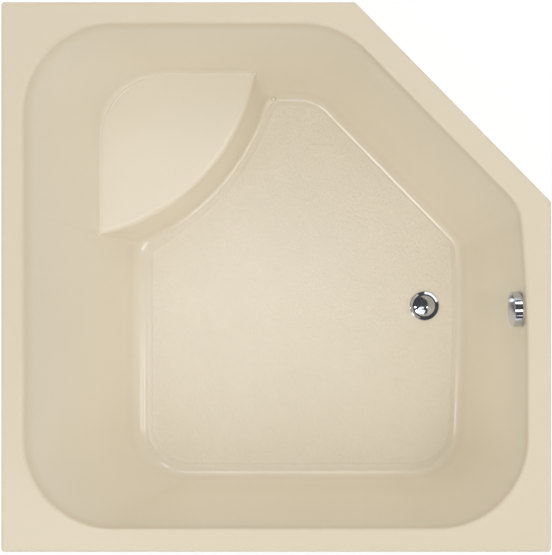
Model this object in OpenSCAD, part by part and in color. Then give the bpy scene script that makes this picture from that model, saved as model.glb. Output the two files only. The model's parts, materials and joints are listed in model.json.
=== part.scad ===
// Corner soaking tub with a cut-off front corner and a raised corner seat.
// Millimetres, +Z up, +X towards the drain end, +Y towards the seat wall.
// The origin lies on the floor, under the middle of the square outline.

/* [Tub body] */
// Side of the square the rim fills
tub_side = 1219; // [1190:1:1250]
// Height of the basin floor at the drain above the floor of the room
floor_rise = 76; // [74:1:82]
// Depth from the rim to the basin floor at the drain
basin_depth = 457; // [445:1:462]
// Depth from the rim to the seat
seat_depth = 290; // [280:1:300]
// Length of the cut-off corner along the X side
cut_x = 435; // [420:1:450]
// Length of the cut-off corner along the Y side
cut_y = 443; // [430:1:455]
// Rounding of the rim's outer corners in plan
outline_corner_r = 7; // [6.5:0.5:10]
// Rounding of the rim's outer edge
rim_edge_r = 6; // [5:0.5:6]
// Height of the rim's turned-down lip
lip_h = 32; // [26:1:38]
// Thickness of the acrylic shell
shell_t = 4; // [3.5:0.1:4.5]
// Thickness of the glass-fibre layer under the shell
backing_t = 4.5; // [4:0.1:5]
// Gap kept between the shell and its backing on curved walls
skin_gap = 0.3; // [0.2:0.05:0.4]

/* [Deck widths] */
// Deck width along the left side
deck_left = 47.5; // [45:0.5:52]
// Deck width along the seat side
deck_back = 47.5; // [45:0.5:52]
// Deck width along the drain side
deck_right = 51.5; // [49:0.5:54]
// Deck width along the bottom side
deck_front = 52.5; // [48:0.5:56]
// Deck width along the cut corner
deck_cut = 56.5; // [50:0.5:60]
// Plan radius of the four large rim corners
rim_corner_r = 200; // [185:1:210]
// Plan radius of the rim corner beside the drain
rim_small_r = 100; // [85:1:110]
// Rounding where the deck turns down into the basin
rim_roll = 9; // [7:0.5:10]
// Angle of the bow of the drain-side rim
rim_bow_a = 4.4; // [3.5:0.1:5]
// Plan radius of the bow of the drain-side wall
bow_r = 3000; // [2600:50:3300]

/* [Basin walls] */
// Inward run of the left wall from rim to floor
run_left = 218; // [210:1:225]
// Inward run of the seat-side wall
run_back = 116; // [110:1:122]
// Inward run of the drain-side wall
run_right = 97; // [92:1:102]
// Inward run of the bottom wall
run_front = 64; // [58:1:70]
// Inward run of the cut-corner wall
run_cut = 112; // [106:1:118]
// Sweep of the drain-side wall, 0.5 is straight
sweep_right = 0.22; // [0.2:0.01:0.3]
// Sweep of the bottom wall, 0.5 is straight
sweep_front = 0.32; // [0.28:0.01:0.4]
// Sweep of the cut-corner wall, 0.5 is straight
sweep_cut = 0.38; // [0.34:0.01:0.45]
// Sweep of the left and seat-side walls, 0.5 is straight
sweep_left = 0.5; // [0.48:0.01:0.5]
// Plan radius of the floor corner between the left and bottom walls
foot_left_r = 128; // [115:1:135]
// Plan radius of the floor corner between the bottom and drain walls
foot_right_r = 122; // [110:1:130]
// Plan radius of the floor corner beside the drain
foot_small_r = 45; // [38:1:55]
// Plan radius of the floor corner between the cut and seat walls
foot_back_r = 105; // [95:1:112]
// Cove reach on the floor along the left wall
cove_left = 32; // [28:1:34]
// Cove reach on the floor along the bottom wall
cove_front = 26; // [22:1:30]
// Cove reach on the floor along the drain wall
cove_right = 15; // [12:1:18]
// Cove reach on the floor along the cut wall
cove_cut = 11; // [9:1:14]
// Cove reach on the floor in front of the seat
cove_seat = 22; // [18:1:26]
// Fall of the floor towards the drain
floor_fall = 4; // [2:0.5:5]

/* [Seat] */
// Distance of the seat arc's centre from the left edge of the square
seat_arc_x = 89; // [84:1:94]
// Distance of the seat arc's centre from the seat edge of the square
seat_arc_y = 42.2; // [38:0.2:46]
// Radius of the seat's front edge in plan
seat_arc_r = 475.4; // [468:0.2:480]
// Radius of the foot of the seat's front face in plan
foot_arc_r = 560.7; // [554:0.1:566]
// Distance of the foot arc's centre from the left edge of the square
foot_arc_x = 47.6; // [44:0.2:52]
// Distance of the foot arc's centre from the seat edge of the square
foot_arc_y = 11.2; // [8:0.2:14]
// Plan radius of the seat's back corner at floor depth
seat_corner_r = 120; // [112:1:126]
// Rounding between the seat and its back walls
seat_cove = 11; // [9:0.5:13]
// Rounding of the seat's front edge
seat_edge = 15; // [12:0.5:18]
// Plan radius of the floor pocket at the seat's right end
pocket_back_r = 42; // [38:1:46]
// Plan radius of the floor pocket at the seat's left end
pocket_left_r = 46; // [42:1:50]

/* [Drain] */
// Distance of the drain from the drain-side edge of the square
drain_in = 239.5; // [233:0.5:247]
// Distance of the drain and overflow from the middle, along Y
drain_y = -72; // [-80:1:-66]
// Radius of the drain flange
flange_r = 36.5; // [35:0.5:38]
// Height of the drain flange above its recess
flange_t = 3; // [2.6:0.1:3.4]
// Depth of the flat recess round the drain
recess_h = 1.5; // [1.2:0.1:1.8]
// Radius of the flange's threaded barrel
barrel_r = 22; // [21:0.5:23]
// Wall of the threaded barrel
barrel_wall = 2.5; // [2:0.1:3]
// Radius of the stopper cap
cap_r = 26; // [25:0.5:27]
// Height of the stopper cap's dome
cap_h = 6.5; // [5.5:0.5:7.5]
// Radius of the stopper stem
stem_r = 4; // [3.5:0.1:4.5]
// Radius of the wastewater tubes
tube_r = 19.05; // [18.8:0.05:19.2]
// Wall of the wastewater tubes
tube_wall = 2; // [1.6:0.1:2.4]
// Depth of the horizontal waste tube's axis below the basin floor
waste_drop = 41; // [40.5:0.5:42]
// Length of each tube socket
socket_l = 22; // [20:1:24]
// Length of the free outlet tube past its nut
outlet_l = 70; // [50:1:90]

/* [Overflow] */
// Depth of the overflow knob's centre below the rim
overflow_depth = 52; // [50:1:56]
// Upward tilt of the overflow knob's face
knob_tilt = 4.5; // [3.5:0.1:5.5]
// Radius of the overflow knob
knob_r = 39.5; // [38:0.5:41]
// Thickness of the overflow knob
knob_t = 17; // [15:0.5:18]
// Gap between the knob and the wall for the water
knob_gap = 3; // [2.8:0.1:3.2]
// Radius of the hole through the wall
overflow_hole_r = 24; // [23.5:0.1:24.5]
// Distance of the overflow tube's axis from the drain-side edge
overflow_tube_in = 27.5; // [27:0.1:28]
// Turn of the overflow knob from closed to open
knob_turn = 70; // [60:1:75]
// Crank radius on the knob's spindle
crank_r = 6.5; // [6:0.1:7]

/* [Linkage] */
// Lift of the stopper from closed to open
lift = 10.4; // [9.5:0.1:11]
// Half of the lift lever's swing
lever_half = 12; // [11:0.5:13]
// Radius of the control cable's sheath
sheath_r = 2.5; // [2.2:0.1:2.8]
// Radius of the cable's inner rod
rod_r = 1.5; // [1.3:0.1:1.6]
// Bend radius of the sheath near the floor
sheath_bend = 60; // [50:1:70]
// Bend radius of the sheath behind the overflow
sheath_top_bend = 18; // [17:0.5:20]
// Running clearance of shafts and pins
run_fit = 0.05; // [0.03:0.01:0.08]

/* [Base and supports] */
// Thickness of the base panel
panel_t = 16; // [14:1:18]
// Distance of the base panel's edge inside the foot of the walls
panel_in = 52; // [48:1:56]
// Width of each base rail
rail_w = 38; // [34:1:42]
// Width of the rim boards
board_w = 24; // [20:1:25]
// Thickness of the rim boards
board_t = 12; // [10:0.5:12]
// Distance of the rim boards from the outer edge
board_in = 8; // [7.5:0.5:9]
// Thickness of the seat board
seat_board_t = 16; // [14:1:18]
// Side of each square seat post
post_w = 40; // [36:1:44]

/* [Hidden] */

half = tub_side / 2;
tub_h = floor_rise + basin_depth;
zf = floor_rise;
zs = tub_h - seat_depth;
// Share of the usual side, which the cut corner, the seat and the base follow in plan
usual_side = 1219;
plan = tub_side / usual_side;
cut_lx = plan * cut_x;
cut_ly = plan * cut_y;
arc_r = plan * seat_arc_r;
foot_r = plan * foot_arc_r;
drain_x = half - drain_in;
waste_z = zf - waste_drop;
seat_frac = seat_depth / basin_depth;
// Finely faceted round parts, and the overrun of cutting shapes
fine = 96;
over = 1;
far = 100;

// Directions of the outward normals: drain side lower and upper part, cut, back, left, front
cut_a = atan2(cut_lx, cut_ly);
cut_d = (half - cut_lx) * cos(cut_a) + half * sin(cut_a);
// Place along Y where the drain side bends
bow_y = drain_y;

// Distances of the deck outline, the rim's inner edge and the foot of the walls
rim_d = [half - deck_right, cut_d - deck_cut, half - deck_back, half - deck_left, half - deck_front];
foot_d = [rim_d[0] - run_right, rim_d[1] - run_cut, rim_d[2] - run_back, rim_d[3] - run_left,
  rim_d[4] - run_front];
foot_low_a = -2;
foot_up_a = 2.9;
// Straight part that the drain side's bend leaves below the cut corner
side_min = 2;

// Stations round the basin
n_br = 7;
n_bow = 4;
n_dr = 5;
n_td = 6;
n_tip = 2;
n_arc = 16;
n_tl = 8;
n_bl = 7;

// Point where two lines given by normal angle and distance meet
function meet(a, p, b, q) = [(p * sin(b) - q * sin(a)) / sin(b - a), (q * cos(a) - p * cos(b)) / sin(b - a)];
function unit(v) = v / norm(v);
function mix(a, b, t) = a + (b - a) * t;
function polar(c, r, a) = [c[0] + r * cos(a), c[1] + r * sin(a)];
// Centre of the rounding between two such lines
function round_c(v, a, b, r) = [v[0] - r * (cos(a) + cos(b)) / (1 + cos(b - a)),
  v[1] - r * (sin(a) + sin(b)) / (1 + cos(b - a))];
// Rounded corner between two lines, n + 1 points
function corner(a, p, b, q, r, n) = let (c = round_c(meet(a, p, b, q), a, b, r))
  [for (i = [0:n]) polar(c, r, mix(a, b, i / n))];
// Tight outer corner spread over n + 1 stations, with four of them on the rounding
function tight(a, p, b, q, r, n, s) = let (c = round_c(meet(a, p, b, q), a, b, r),
    u = [sin(a), -cos(a)], w = [-sin(b), cos(b)], k = floor((n - 3) / 2))
  [for (i = [0:n]) i < k ? polar(c, r, a) + u * s * (k - i) / k
    : i <= k + 3 ? polar(c, r, mix(a, b, (i - k) / 3))
    : polar(c, r, b) + w * s * (i - k - 3) / (n - k - 3)];
function line_pts(a, b, n) = [for (i = [1:n]) mix(a, b, i / (n + 1))];
function join(v) = [for (p = v) for (q = p) q];

// The rim's inner edge, one point per station, from the lower end of the drain side round by
// the cut corner, the back, the left and the front
rim_low = meet(0, rim_d[0], 90, bow_y);
rim_up_d = rim_low[0] * cos(rim_bow_a) + bow_y * sin(rim_bow_a);
rim_bow = corner(0, rim_d[0], rim_bow_a, rim_up_d, bow_r, n_bow);
rim_dr = corner(rim_bow_a, rim_up_d, cut_a, rim_d[1], rim_small_r, n_dr);
rim_td = corner(cut_a, rim_d[1], 90, rim_d[2], rim_corner_r, n_td);
rim_tl = corner(90, rim_d[2], 180, rim_d[3], rim_corner_r, n_tl);
rim_bl = corner(180, rim_d[3], 270, rim_d[4], rim_corner_r, n_bl);
rim_br = corner(270, rim_d[4], 360, rim_d[0], rim_corner_r, n_br);

// The foot of the walls
foot_low_d = foot_d[0] * cos(foot_low_a) + bow_y * sin(foot_low_a);
foot_up_d = foot_d[0] * cos(foot_up_a) + bow_y * sin(foot_up_a);
foot_arc_c = [-half + plan * foot_arc_x, half - plan * foot_arc_y];
seat_arc_c = [-half + plan * seat_arc_x, half - plan * seat_arc_y];
function foot_loop(e) = let (r = [foot_small_r, foot_back_r, foot_left_r, foot_right_r, pocket_back_r,
      pocket_left_r],
    q = [for (x = r) max(x - e, 6)],
    back = foot_d[2] - e, left = foot_d[3] - e, ra = foot_r + e,
    c1 = [foot_arc_c[0] + sqrt(pow(ra + q[4], 2) - pow(foot_arc_c[1] - back + q[4], 2)), back - q[4]],
    c2 = [-left + q[5], foot_arc_c[1] - sqrt(pow(ra + q[5], 2) - pow(q[5] - left - foot_arc_c[0], 2))],
    a1 = atan2(foot_arc_c[1] - c1[1], foot_arc_c[0] - c1[0]),
    a2 = atan2(foot_arc_c[1] - c2[1], foot_arc_c[0] - c2[0]),
    dr = corner(foot_up_a, foot_up_d - e, cut_a, foot_d[1] - e, q[0], n_dr),
    up = norm(dr[0] - meet(foot_low_a, foot_low_d - e, foot_up_a, foot_up_d - e)) - side_min,
    bow = corner(foot_low_a, foot_low_d - e, foot_up_a, foot_up_d - e,
      min(bow_r, up / tan((foot_up_a - foot_low_a) / 2)), n_bow),
    td = corner(cut_a, foot_d[1] - e, 90, back, q[1], n_td),
    t1 = [for (i = [0:2 * n_tip]) polar(c1, q[4], mix(90, a1, i / (2 * n_tip)))],
    arc = [for (i = [1:n_arc - 1]) polar(foot_arc_c, ra, mix(a1 - 180, a2 - 180, i / n_arc))],
    t2 = [for (i = [0:2 * n_tip]) polar(c2, q[5], mix(a2, 180, i / (2 * n_tip)))],
    bl = corner(180, left, 270, foot_d[4] - e, q[2], n_bl),
    br = corner(270, foot_d[4] - e, 360 + foot_low_a, foot_low_d - e, q[3], n_br))
  join([line_pts(br[n_br], bow[0], 1), bow, line_pts(bow[n_bow], dr[0], 1), dr,
    line_pts(dr[n_dr], td[0], 2), td, line_pts(td[n_td], t1[0], 1), t1, arc, t2,
    line_pts(t2[2 * n_tip], bl[0], 3), bl, line_pts(bl[n_bl], br[0], 3), br]);
foot = foot_loop(0);

// Stations of the seat's two ends and of its rounded part
i_tip1 = 1 + n_bow + 1 + 1 + n_dr + 1 + 2 + n_td + 1 + 1 + n_tip;
i_tip2 = i_tip1 + 2 * n_tip + n_arc;
n_st = len(foot);
function is_seat(i) = i > i_tip1 && i < i_tip2;

// Ends of the seat on the two walls at seat height
seat_x = -mix(rim_d[3], foot_d[3], seat_frac);
seat_y = mix(rim_d[2], foot_d[2], seat_frac);
tip1 = [seat_arc_c[0] + sqrt(pow(arc_r, 2) - pow(seat_arc_c[1] - seat_y, 2)), seat_y];
tip2 = [seat_x, seat_arc_c[1] - sqrt(pow(arc_r, 2) - pow(seat_x - seat_arc_c[0], 2))];
// The rim points from which the wall runs straight through a seat end to its foot
rim_t1 = [foot[i_tip1][0] + (tip1[0] - foot[i_tip1][0]) / (1 - seat_frac), rim_d[2]];
rim_t2 = [-rim_d[3], foot[i_tip2][1] + (tip2[1] - foot[i_tip2][1]) / (1 - seat_frac)];
// Where the seat's back line lies at floor depth if the walls ran on
under_t1 = rim_t1 + (tip1 - rim_t1) / seat_frac;
under_t2 = rim_t2 + (tip2 - rim_t2) / seat_frac;
tip_step = 24;
n_side = (n_arc - n_tl) / 2;
rim = join([line_pts(rim_br[n_br], rim_bow[0], 1), rim_bow, line_pts(rim_bow[n_bow], rim_dr[0], 1), rim_dr,
  line_pts(rim_dr[n_dr], rim_td[0], 2), rim_td, line_pts(rim_td[n_td], rim_t1 + [tip_step, 0], 1),
  [for (i = [0:2 * n_tip]) rim_t1 + [tip_step * (1 - i / n_tip), 0]],
  line_pts(rim_t1 - [tip_step, 0], rim_tl[0], n_side - 1), rim_tl,
  line_pts(rim_tl[n_tl], rim_t2 + [0, tip_step], n_side - 1),
  [for (i = [0:2 * n_tip]) rim_t2 + [0, tip_step * (1 - i / n_tip)]],
  line_pts(rim_t2 - [0, tip_step], rim_bl[0], 3), rim_bl, line_pts(rim_bl[n_bl], rim_br[0], 3), rim_br]);
under_tl = corner(90, foot_d[2], 180, foot_d[3], seat_corner_r, n_tl);
under = concat([for (i = [0:n_tip]) under_t1 - [tip_step * i / n_tip, 0]],
  line_pts(under_t1 - [tip_step, 0], under_tl[0], n_side - 1), under_tl,
  line_pts(under_tl[n_tl], under_t2 + [0, tip_step], n_side - 1),
  [for (i = [0:n_tip]) under_t2 + [0, tip_step * (1 - i / n_tip)]]);
// The seat's front edge
edge_a1 = atan2(tip1[1] - seat_arc_c[1], tip1[0] - seat_arc_c[0]);
edge_a2 = atan2(tip2[1] - seat_arc_c[1], tip2[0] - seat_arc_c[0]);
tip_a = 1.9;
seat_front = concat([for (i = [0:n_tip]) polar(seat_arc_c, arc_r, edge_a1 - tip_a * i / n_tip)],
  [for (i = [1:n_arc - 1]) polar(seat_arc_c, arc_r, mix(edge_a1 - tip_a, edge_a2 + tip_a, i / n_arc))],
  [for (i = [0:n_tip]) polar(seat_arc_c, arc_r, edge_a2 + tip_a * (1 - i / n_tip))]);

// The deck's outer edge and the line where its rounding meets the flat deck
function outer_loop(e, r) = let (d = [half - e, cut_d - e],
    br = tight(270, d[0], 360, d[0], r, n_br, 330), bow = [for (i = [0:n_bow]) [d[0], rim_bow[i][1]]],
    dr = tight(0, d[0], cut_a, d[1], r, n_dr, 30), td = tight(cut_a, d[1], 90, d[0], r, n_td, 90),
    tl = tight(90, d[0], 180, d[0], r, n_tl, 200), bl = tight(180, d[0], 270, d[0], r, n_bl, 200))
  join([line_pts(br[n_br], bow[0], 1), bow, line_pts(bow[n_bow], dr[0], 1), dr,
    line_pts(dr[n_dr], td[0], 2), td, line_pts(td[n_td], [rim_t1[0] + tip_step, d[0]], 1),
    [for (i = [0:2 * n_tip]) [rim_t1[0] + tip_step * (1 - i / n_tip), d[0]]],
    line_pts([rim_t1[0] - tip_step, d[0]], tl[0], n_side - 1), tl,
    line_pts(tl[n_tl], [-d[0], rim_t2[1] + tip_step], n_side - 1),
    [for (i = [0:2 * n_tip]) [-d[0], rim_t2[1] + tip_step * (1 - i / n_tip)]],
    line_pts([-d[0], rim_t2[1] - tip_step], bl[0], 3), bl, line_pts(bl[n_bl], br[0], 3), br]);
edge_out = outer_loop(0, outline_corner_r);
edge_in = outer_loop(rim_edge_r, outline_corner_r - rim_edge_r);

// Values that change from wall to wall, given by the foot's normal angle
function ring_n(i) = let (d = foot[(i + 1) % n_st] - foot[(i + n_st - 1) % n_st]) unit([d[1], -d[0]]);
function ramp(x, a, b) = min(1, max(0, (x - a) / (b - a)));
function by_wall(i, right, cut, back, left, front) = let (
    d = rim[(i + 1) % n_st] - rim[(i + n_st - 1) % n_st],
    a = (atan2(-d[0], d[1]) + 360 + 20) % 360 - 20)
  a < cut_a ? mix(right, cut, ramp(a, rim_bow_a, cut_a)) : a < 90 ? mix(cut, back, ramp(a, cut_a, 90))
  : a < 180 ? mix(back, left, ramp(a, 90, 180)) : a < 270 ? mix(left, front, ramp(a, 180, 270))
  : mix(front, right, ramp(a, 270, 340));
sweep = [for (i = [0:n_st - 1]) by_wall(i, sweep_right, sweep_cut, sweep_left, sweep_left, sweep_front)];
cove = [for (i = [0:n_st - 1]) i > i_tip1 - n_tip && i < i_tip2 + n_tip
  ? mix(i < (i_tip1 + i_tip2) / 2 ? cove_cut : cove_left, cove_seat,
      ramp(min(i - i_tip1, i_tip2 - i), -n_tip, n_tip + 2))
  : by_wall(i, cove_right, cove_cut, cove_cut, cove_left, cove_front)];

// Height of the floor
function floor_z(p) = zf + floor_fall * (drain_x - p[0]) / (drain_x + foot_d[3]);
function at_z(p, z) = [p[0], p[1], z];
// Foot that the wall above seat level aims at: the pockets at the seat's ends lie only below it
wall_foot = [for (i = [0:n_st - 1]) i >= i_tip1 - n_tip && i <= i_tip1 ? [foot[i][0], foot_d[2]]
  : i >= i_tip2 && i <= i_tip2 + n_tip ? [-foot_d[3], foot[i][1]] : foot[i]];
// Wall curve from the rim to the foot
function wall_p(i, t) = let (a = rim[i], b = wall_foot[i], s = sweep[i], u = ramp(t, seat_frac, 1),
    p = mix(a, b, 2 * t * (1 - t) * s + t * t) + (foot[i] - b) * u * u * (3 - 2 * u))
  at_z(p, mix(tub_h, floor_z(foot[i]), t));
function wall_t(i, t) = let (a = rim[i], b = wall_foot[i], s = sweep[i], u = ramp(t, seat_frac, 1),
    p = (b - a) * (2 * s * (1 - 2 * t) + 2 * t) + (foot[i] - b) * 6 * u * (1 - u) / (1 - seat_frac))
  unit(at_z(p, floor_z(foot[i]) - tub_h));
// Rounding between two directions, n + 1 points with their directions
function blend(a, k, b, n) = [for (i = [0:n]) let (t = i / n)
  [mix(mix(a, k, t), mix(k, b, t), t), unit(mix(k - a, b - k, t))]];

// Spacing of the rows down the wall
wall_t0 = 0.05;
wall_dt = 0.108;

// One profile from the lip over the deck and down to the floor: points with directions
function profile(i) = let (
    o = at_z(edge_out[i], tub_h), oi = at_z(edge_in[i], tub_h), r = at_z(rim[i], tub_h),
    f = at_z(foot[i], floor_z(foot[i])), inward = -ring_n(i), fi = foot[i] + inward * cove[i],
    fl = at_z(fi, floor_z(fi)), out = unit([rim[i][0] - foot[i][0], rim[i][1] - foot[i][1]]),
    deck_p = r + rim_roll * [out[0], out[1], 0], seat = is_seat(i), j = i - i_tip1,
    k2 = seat ? at_z(mix(rim[i], under[j], seat_frac), zs) : 0,
    k3 = seat ? at_z(seat_front[j], zs) : 0,
    d23 = seat ? norm(k3 - k2) : 0,
    up_dir = seat ? unit(k2 - r) : wall_t(i, 0),
    roll_end = seat ? r + up_dir * rim_roll : wall_p(i, rim_roll / basin_depth),
    down = seat ? unit(f - k3) : [0, 0, 0],
    c2 = min(seat_cove, d23 * 0.4), c3 = min(seat_edge, d23 * 0.4),
    cove_top = seat ? f - down * cove[i] : wall_p(i, 1 - cove[i] / basin_depth),
    off = min(abs(i - i_tip1), abs(i - i_tip2), n_tip + 1) / (n_tip + 1),
    near = [-14, -9, -4, -1, 1, 5, 10, 15],
    mid = seat
      ? concat(blend(k2 - up_dir * seat_cove, k2, k2 + unit(k3 - k2) * c2, 3),
          blend(k3 - unit(k3 - k2) * c3, k3, k3 + down * seat_edge, 3))
      : [for (k = [0:7]) let (t = mix((seat_depth + near[k]) / basin_depth, wall_t0 + wall_dt * (k + 1), off))
          [wall_p(i, t), wall_t(i, t)]])
  concat([[o - [0, 0, lip_h], [0, 0, 1]]],
    blend(o - [0, 0, rim_edge_r], o, oi, 3),
    blend(deck_p, r, roll_end, 4), mid,
    blend(cove_top, seat ? f : f, fl, 4));

grid = [for (i = [0:n_st - 1]) profile(i)];
n_row = len(grid[0]);
function du(i, j) = grid[(i + 1) % n_st][j][0] - grid[(i + n_st - 1) % n_st][j][0];
nrm = [for (i = [0:n_st - 1]) [for (j = [0:n_row - 1]) unit(cross(du(i, j), grid[i][j][1]))]];
function is_flat(i, j) = j == 4 || j == 5 || j == n_row - 1 || (is_seat(i) && (j == 13 || j == 14));
// Underside of the backing's floor, level
under_z = zf - shell_t - backing_t;

// Closed skin between two offsets of the grid, from row j0 to the floor
module skin(j0, top_off, flat_off, low_off, flat_low, level) {
  rows = n_row - j0;
  top = [for (i = [0:n_st - 1]) for (j = [j0:n_row - 1])
    grid[i][j][0] - (is_flat(i, j) ? [0, 0, flat_off] : nrm[i][j] * top_off)];
  low = [for (i = [0:n_st - 1]) for (j = [j0:n_row - 1])
    let (p = grid[i][j][0] - (is_flat(i, j) ? [0, 0, flat_low] : nrm[i][j] * low_off))
      level && j == n_row - 1 ? at_z(p, under_z) : p];
  m = n_st * rows;
  function id(i, j) = (i % n_st) * rows + j;
  polyhedron(points = concat(top, low), convexity = 12, faces = concat(
    [for (i = [0:n_st - 1]) for (j = [0:rows - 2]) [id(i, j), id(i, j + 1), id(i + 1, j + 1)]],
    [for (i = [0:n_st - 1]) for (j = [0:rows - 2]) [id(i, j), id(i + 1, j + 1), id(i + 1, j)]],
    [for (i = [0:n_st - 1]) for (j = [0:rows - 2]) [m + id(i, j), m + id(i + 1, j + 1), m + id(i, j + 1)]],
    [for (i = [0:n_st - 1]) for (j = [0:rows - 2]) [m + id(i, j), m + id(i + 1, j), m + id(i + 1, j + 1)]],
    [for (i = [0:n_st - 1]) [id(i, 0), id(i + 1, 0), m + id(i + 1, 0)]],
    [for (i = [0:n_st - 1]) [id(i, 0), m + id(i + 1, 0), m + id(i, 0)]],
    [[for (i = [0:n_st - 1]) id(n_st - 1 - i, rows - 1)]],
    [[for (i = [0:n_st - 1]) m + id(i, rows - 1)]]));
}

// Drain-side wall at the overflow, taken from the station in the middle of its bow
i_ov = 1 + n_bow / 2;
wall_up = grid[i_ov][9][0];
wall_dn = grid[i_ov][10][0];
ov_z = tub_h - overflow_depth;
wall_at = mix(wall_up, wall_dn, (wall_up[2] - ov_z) / (wall_up[2] - wall_dn[2]));
wall_slope = atan2(norm([wall_up[0] - wall_dn[0], wall_up[1] - wall_dn[1]]), wall_up[2] - wall_dn[2]);
wall_turn = atan2(-nrm[i_ov][10][1], -nrm[i_ov][10][0]);
// Flat land round the overflow hole
land_proud = 1.4;
land_r = 32;
ov = [wall_at[0] - land_proud, drain_y, ov_z];
// Local frame of the overflow: z towards the bather, x up along the wall
module at_overflow() { translate(ov) rotate([0, 0, wall_turn]) rotate([0, knob_tilt - 90, 0]) children(); }
module at_wall() {
  translate([wall_at[0], drain_y, ov_z]) rotate([0, 0, wall_turn]) rotate([0, wall_slope - 90, 0]) children();
}
wall_back = shell_t + skin_gap + backing_t;

module rod(r, z0, z1) { translate([0, 0, z0]) cylinder(r = r, h = z1 - z0, $fn = fine); }
module ring(ro, ri, z0, z1) {
  difference() {
    rod(ro, z0, z1);
    rod(ri, z0 - over, z1 + over);
  }
}

// Acrylic shell with its drain recess, drain hole and overflow land and hole
floor_top = zf - recess_h;
recess_gap = 5;
recess_flare = 8;
hole_gap = 0.6;
land_l = 12;
recess_r = flange_r + recess_gap;
hole_r = barrel_r + hole_gap;
module tub_shell() {
  color([0.89, 0.84, 0.75]) difference() {
    union() {
      skin(0, 0, 0, shell_t, shell_t, false);
      difference() {
        at_overflow() rod(land_r, -land_l, 0);
        at_wall() translate([-far, -far, -far - shell_t / 2]) cube([2 * far, 2 * far, far]);
      }
    }
    translate([drain_x, drain_y, floor_top])
      cylinder(r1 = recess_r, r2 = recess_r + 2 * recess_flare, h = recess_flare, $fn = fine);
    translate([drain_x, drain_y, zf]) rod(hole_r, -land_r, land_r);
    at_overflow() rod(overflow_hole_r, -land_r, land_r);
  }
}

// Glass-fibre layer bonded under the shell
module glass_fibre_backing() {
  color([0.72, 0.70, 0.60]) difference() {
    skin(4, shell_t + skin_gap, shell_t, wall_back, shell_t + backing_t, true);
    translate([drain_x, drain_y, zf]) rod(hole_r, -land_r, land_r);
    at_overflow() rod(overflow_hole_r, -land_r, land_r);
  }
}

// Boards under the deck
board_top = tub_h - shell_t - backing_t;
board_end = 70;
cut_end = 40;
module deck_board(a, d, l0, l1) {
  color([0.78, 0.62, 0.42]) rotate([0, 0, a]) translate([d - board_in - board_w, l0, board_top - board_t])
    cube([board_w, l1 - l0, board_t]);
}
cut_half = norm([cut_lx, cut_ly]) / 2;
cut_mid = ((2 * half - cut_ly) * cos(cut_a) - (2 * half - cut_lx) * sin(cut_a)) / 2;
module rim_board_left() { deck_board(180, half, board_end - half, half - board_end); }
module rim_board_back() { deck_board(90, half, cut_lx + cut_end - half, half - board_end); }
module rim_board_cut() {
  deck_board(cut_a, cut_d, cut_mid - cut_half + cut_end, cut_mid + cut_half - cut_end);
}
module rim_board_right() { deck_board(0, half, board_end - half, half - cut_ly - cut_end); }
module rim_board_front() { deck_board(270, half, board_end - half, half - board_end); }

// Panel bonded under the floor, open where the waste pipework passes
waste_gap = 38;
module base_panel() {
  color([0.74, 0.58, 0.38]) difference() {
    translate([0, 0, under_z - panel_t]) linear_extrude(panel_t) polygon(foot_loop(panel_in));
    translate([drain_x - waste_gap, drain_y - waste_gap, 0]) cube([half, 2 * waste_gap, tub_h]);
  }
}

// Rails from the floor of the room to the panel
rail_h = under_z - panel_t;
rail_y = plan * [-385, -215, 30, 215];
rail_set = 14;
rail_in = panel_in + rail_set;
module base_rails() {
  color([0.80, 0.65, 0.45]) linear_extrude(rail_h) intersection() {
    polygon(foot_loop(rail_in));
    union() for (y = rail_y) translate([-half, y - rail_w / 2]) square([2 * half, rail_w]);
  }
}

// Board under the seat and the posts that carry it
seat_under = zs - shell_t - backing_t;
seat_in = 34;
seat_chamfer = 80;
module seat_board() {
  color([0.74, 0.58, 0.38]) translate([0, 0, seat_under - seat_board_t]) linear_extrude(seat_board_t)
    difference() {
      intersection() {
        translate([seat_x + seat_in, seat_y - seat_in - half]) square([half, half]);
        translate(seat_arc_c) circle(r = arc_r - seat_in, $fn = fine);
      }
      translate([seat_x + seat_in, seat_y - seat_in]) rotate(45)
        square([seat_chamfer, seat_chamfer], center = true);
    }
}
post_in = 62;
post_corner = 105;
post_arc = 118.4;
post_tip = 103.4;
posts = [[seat_x + post_in, seat_arc_c[1] - arc_r + post_arc],
  [seat_arc_c[0] + arc_r - post_tip, seat_y - post_in],
  [seat_x + post_corner, seat_y - post_corner]];
module seat_posts() {
  color([0.80, 0.65, 0.45]) for (p = posts)
    translate([p[0] - post_w / 2, p[1] - post_w / 2, 0]) cube([post_w, post_w, seat_under - seat_board_t]);
}

// Drain, local origin on the drain's axis at the level of the room's floor
module at_drain() { translate([drain_x, drain_y, 0]) children(); }
seal_t = 1;
flange_z = floor_top + seal_t;
flange_top = flange_z + flange_t;
gasket_t = 3;
seal_in = 1.5;
seal_bore = 1;
shoe_flange_r = 32;
shoe_flange_t = 4;
shoe_top = under_z - gasket_t;
barrel_l = 24;
rim_band = 6.5;
bowl_r = flange_r - rim_band;
bore_r = barrel_r - barrel_wall;
bowl_floor = 1.2;
bowl_drop = 1.75;
bowl_z0 = flange_z + bowl_floor;
bowl_z1 = flange_top - bowl_drop;
seat_lip = barrel_r + 1;
bowl_edge = bowl_r - 0.5;
function bowl_z(r) = mix(bowl_z0, bowl_z1, (r - seat_lip) / (bowl_edge - seat_lip));
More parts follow.
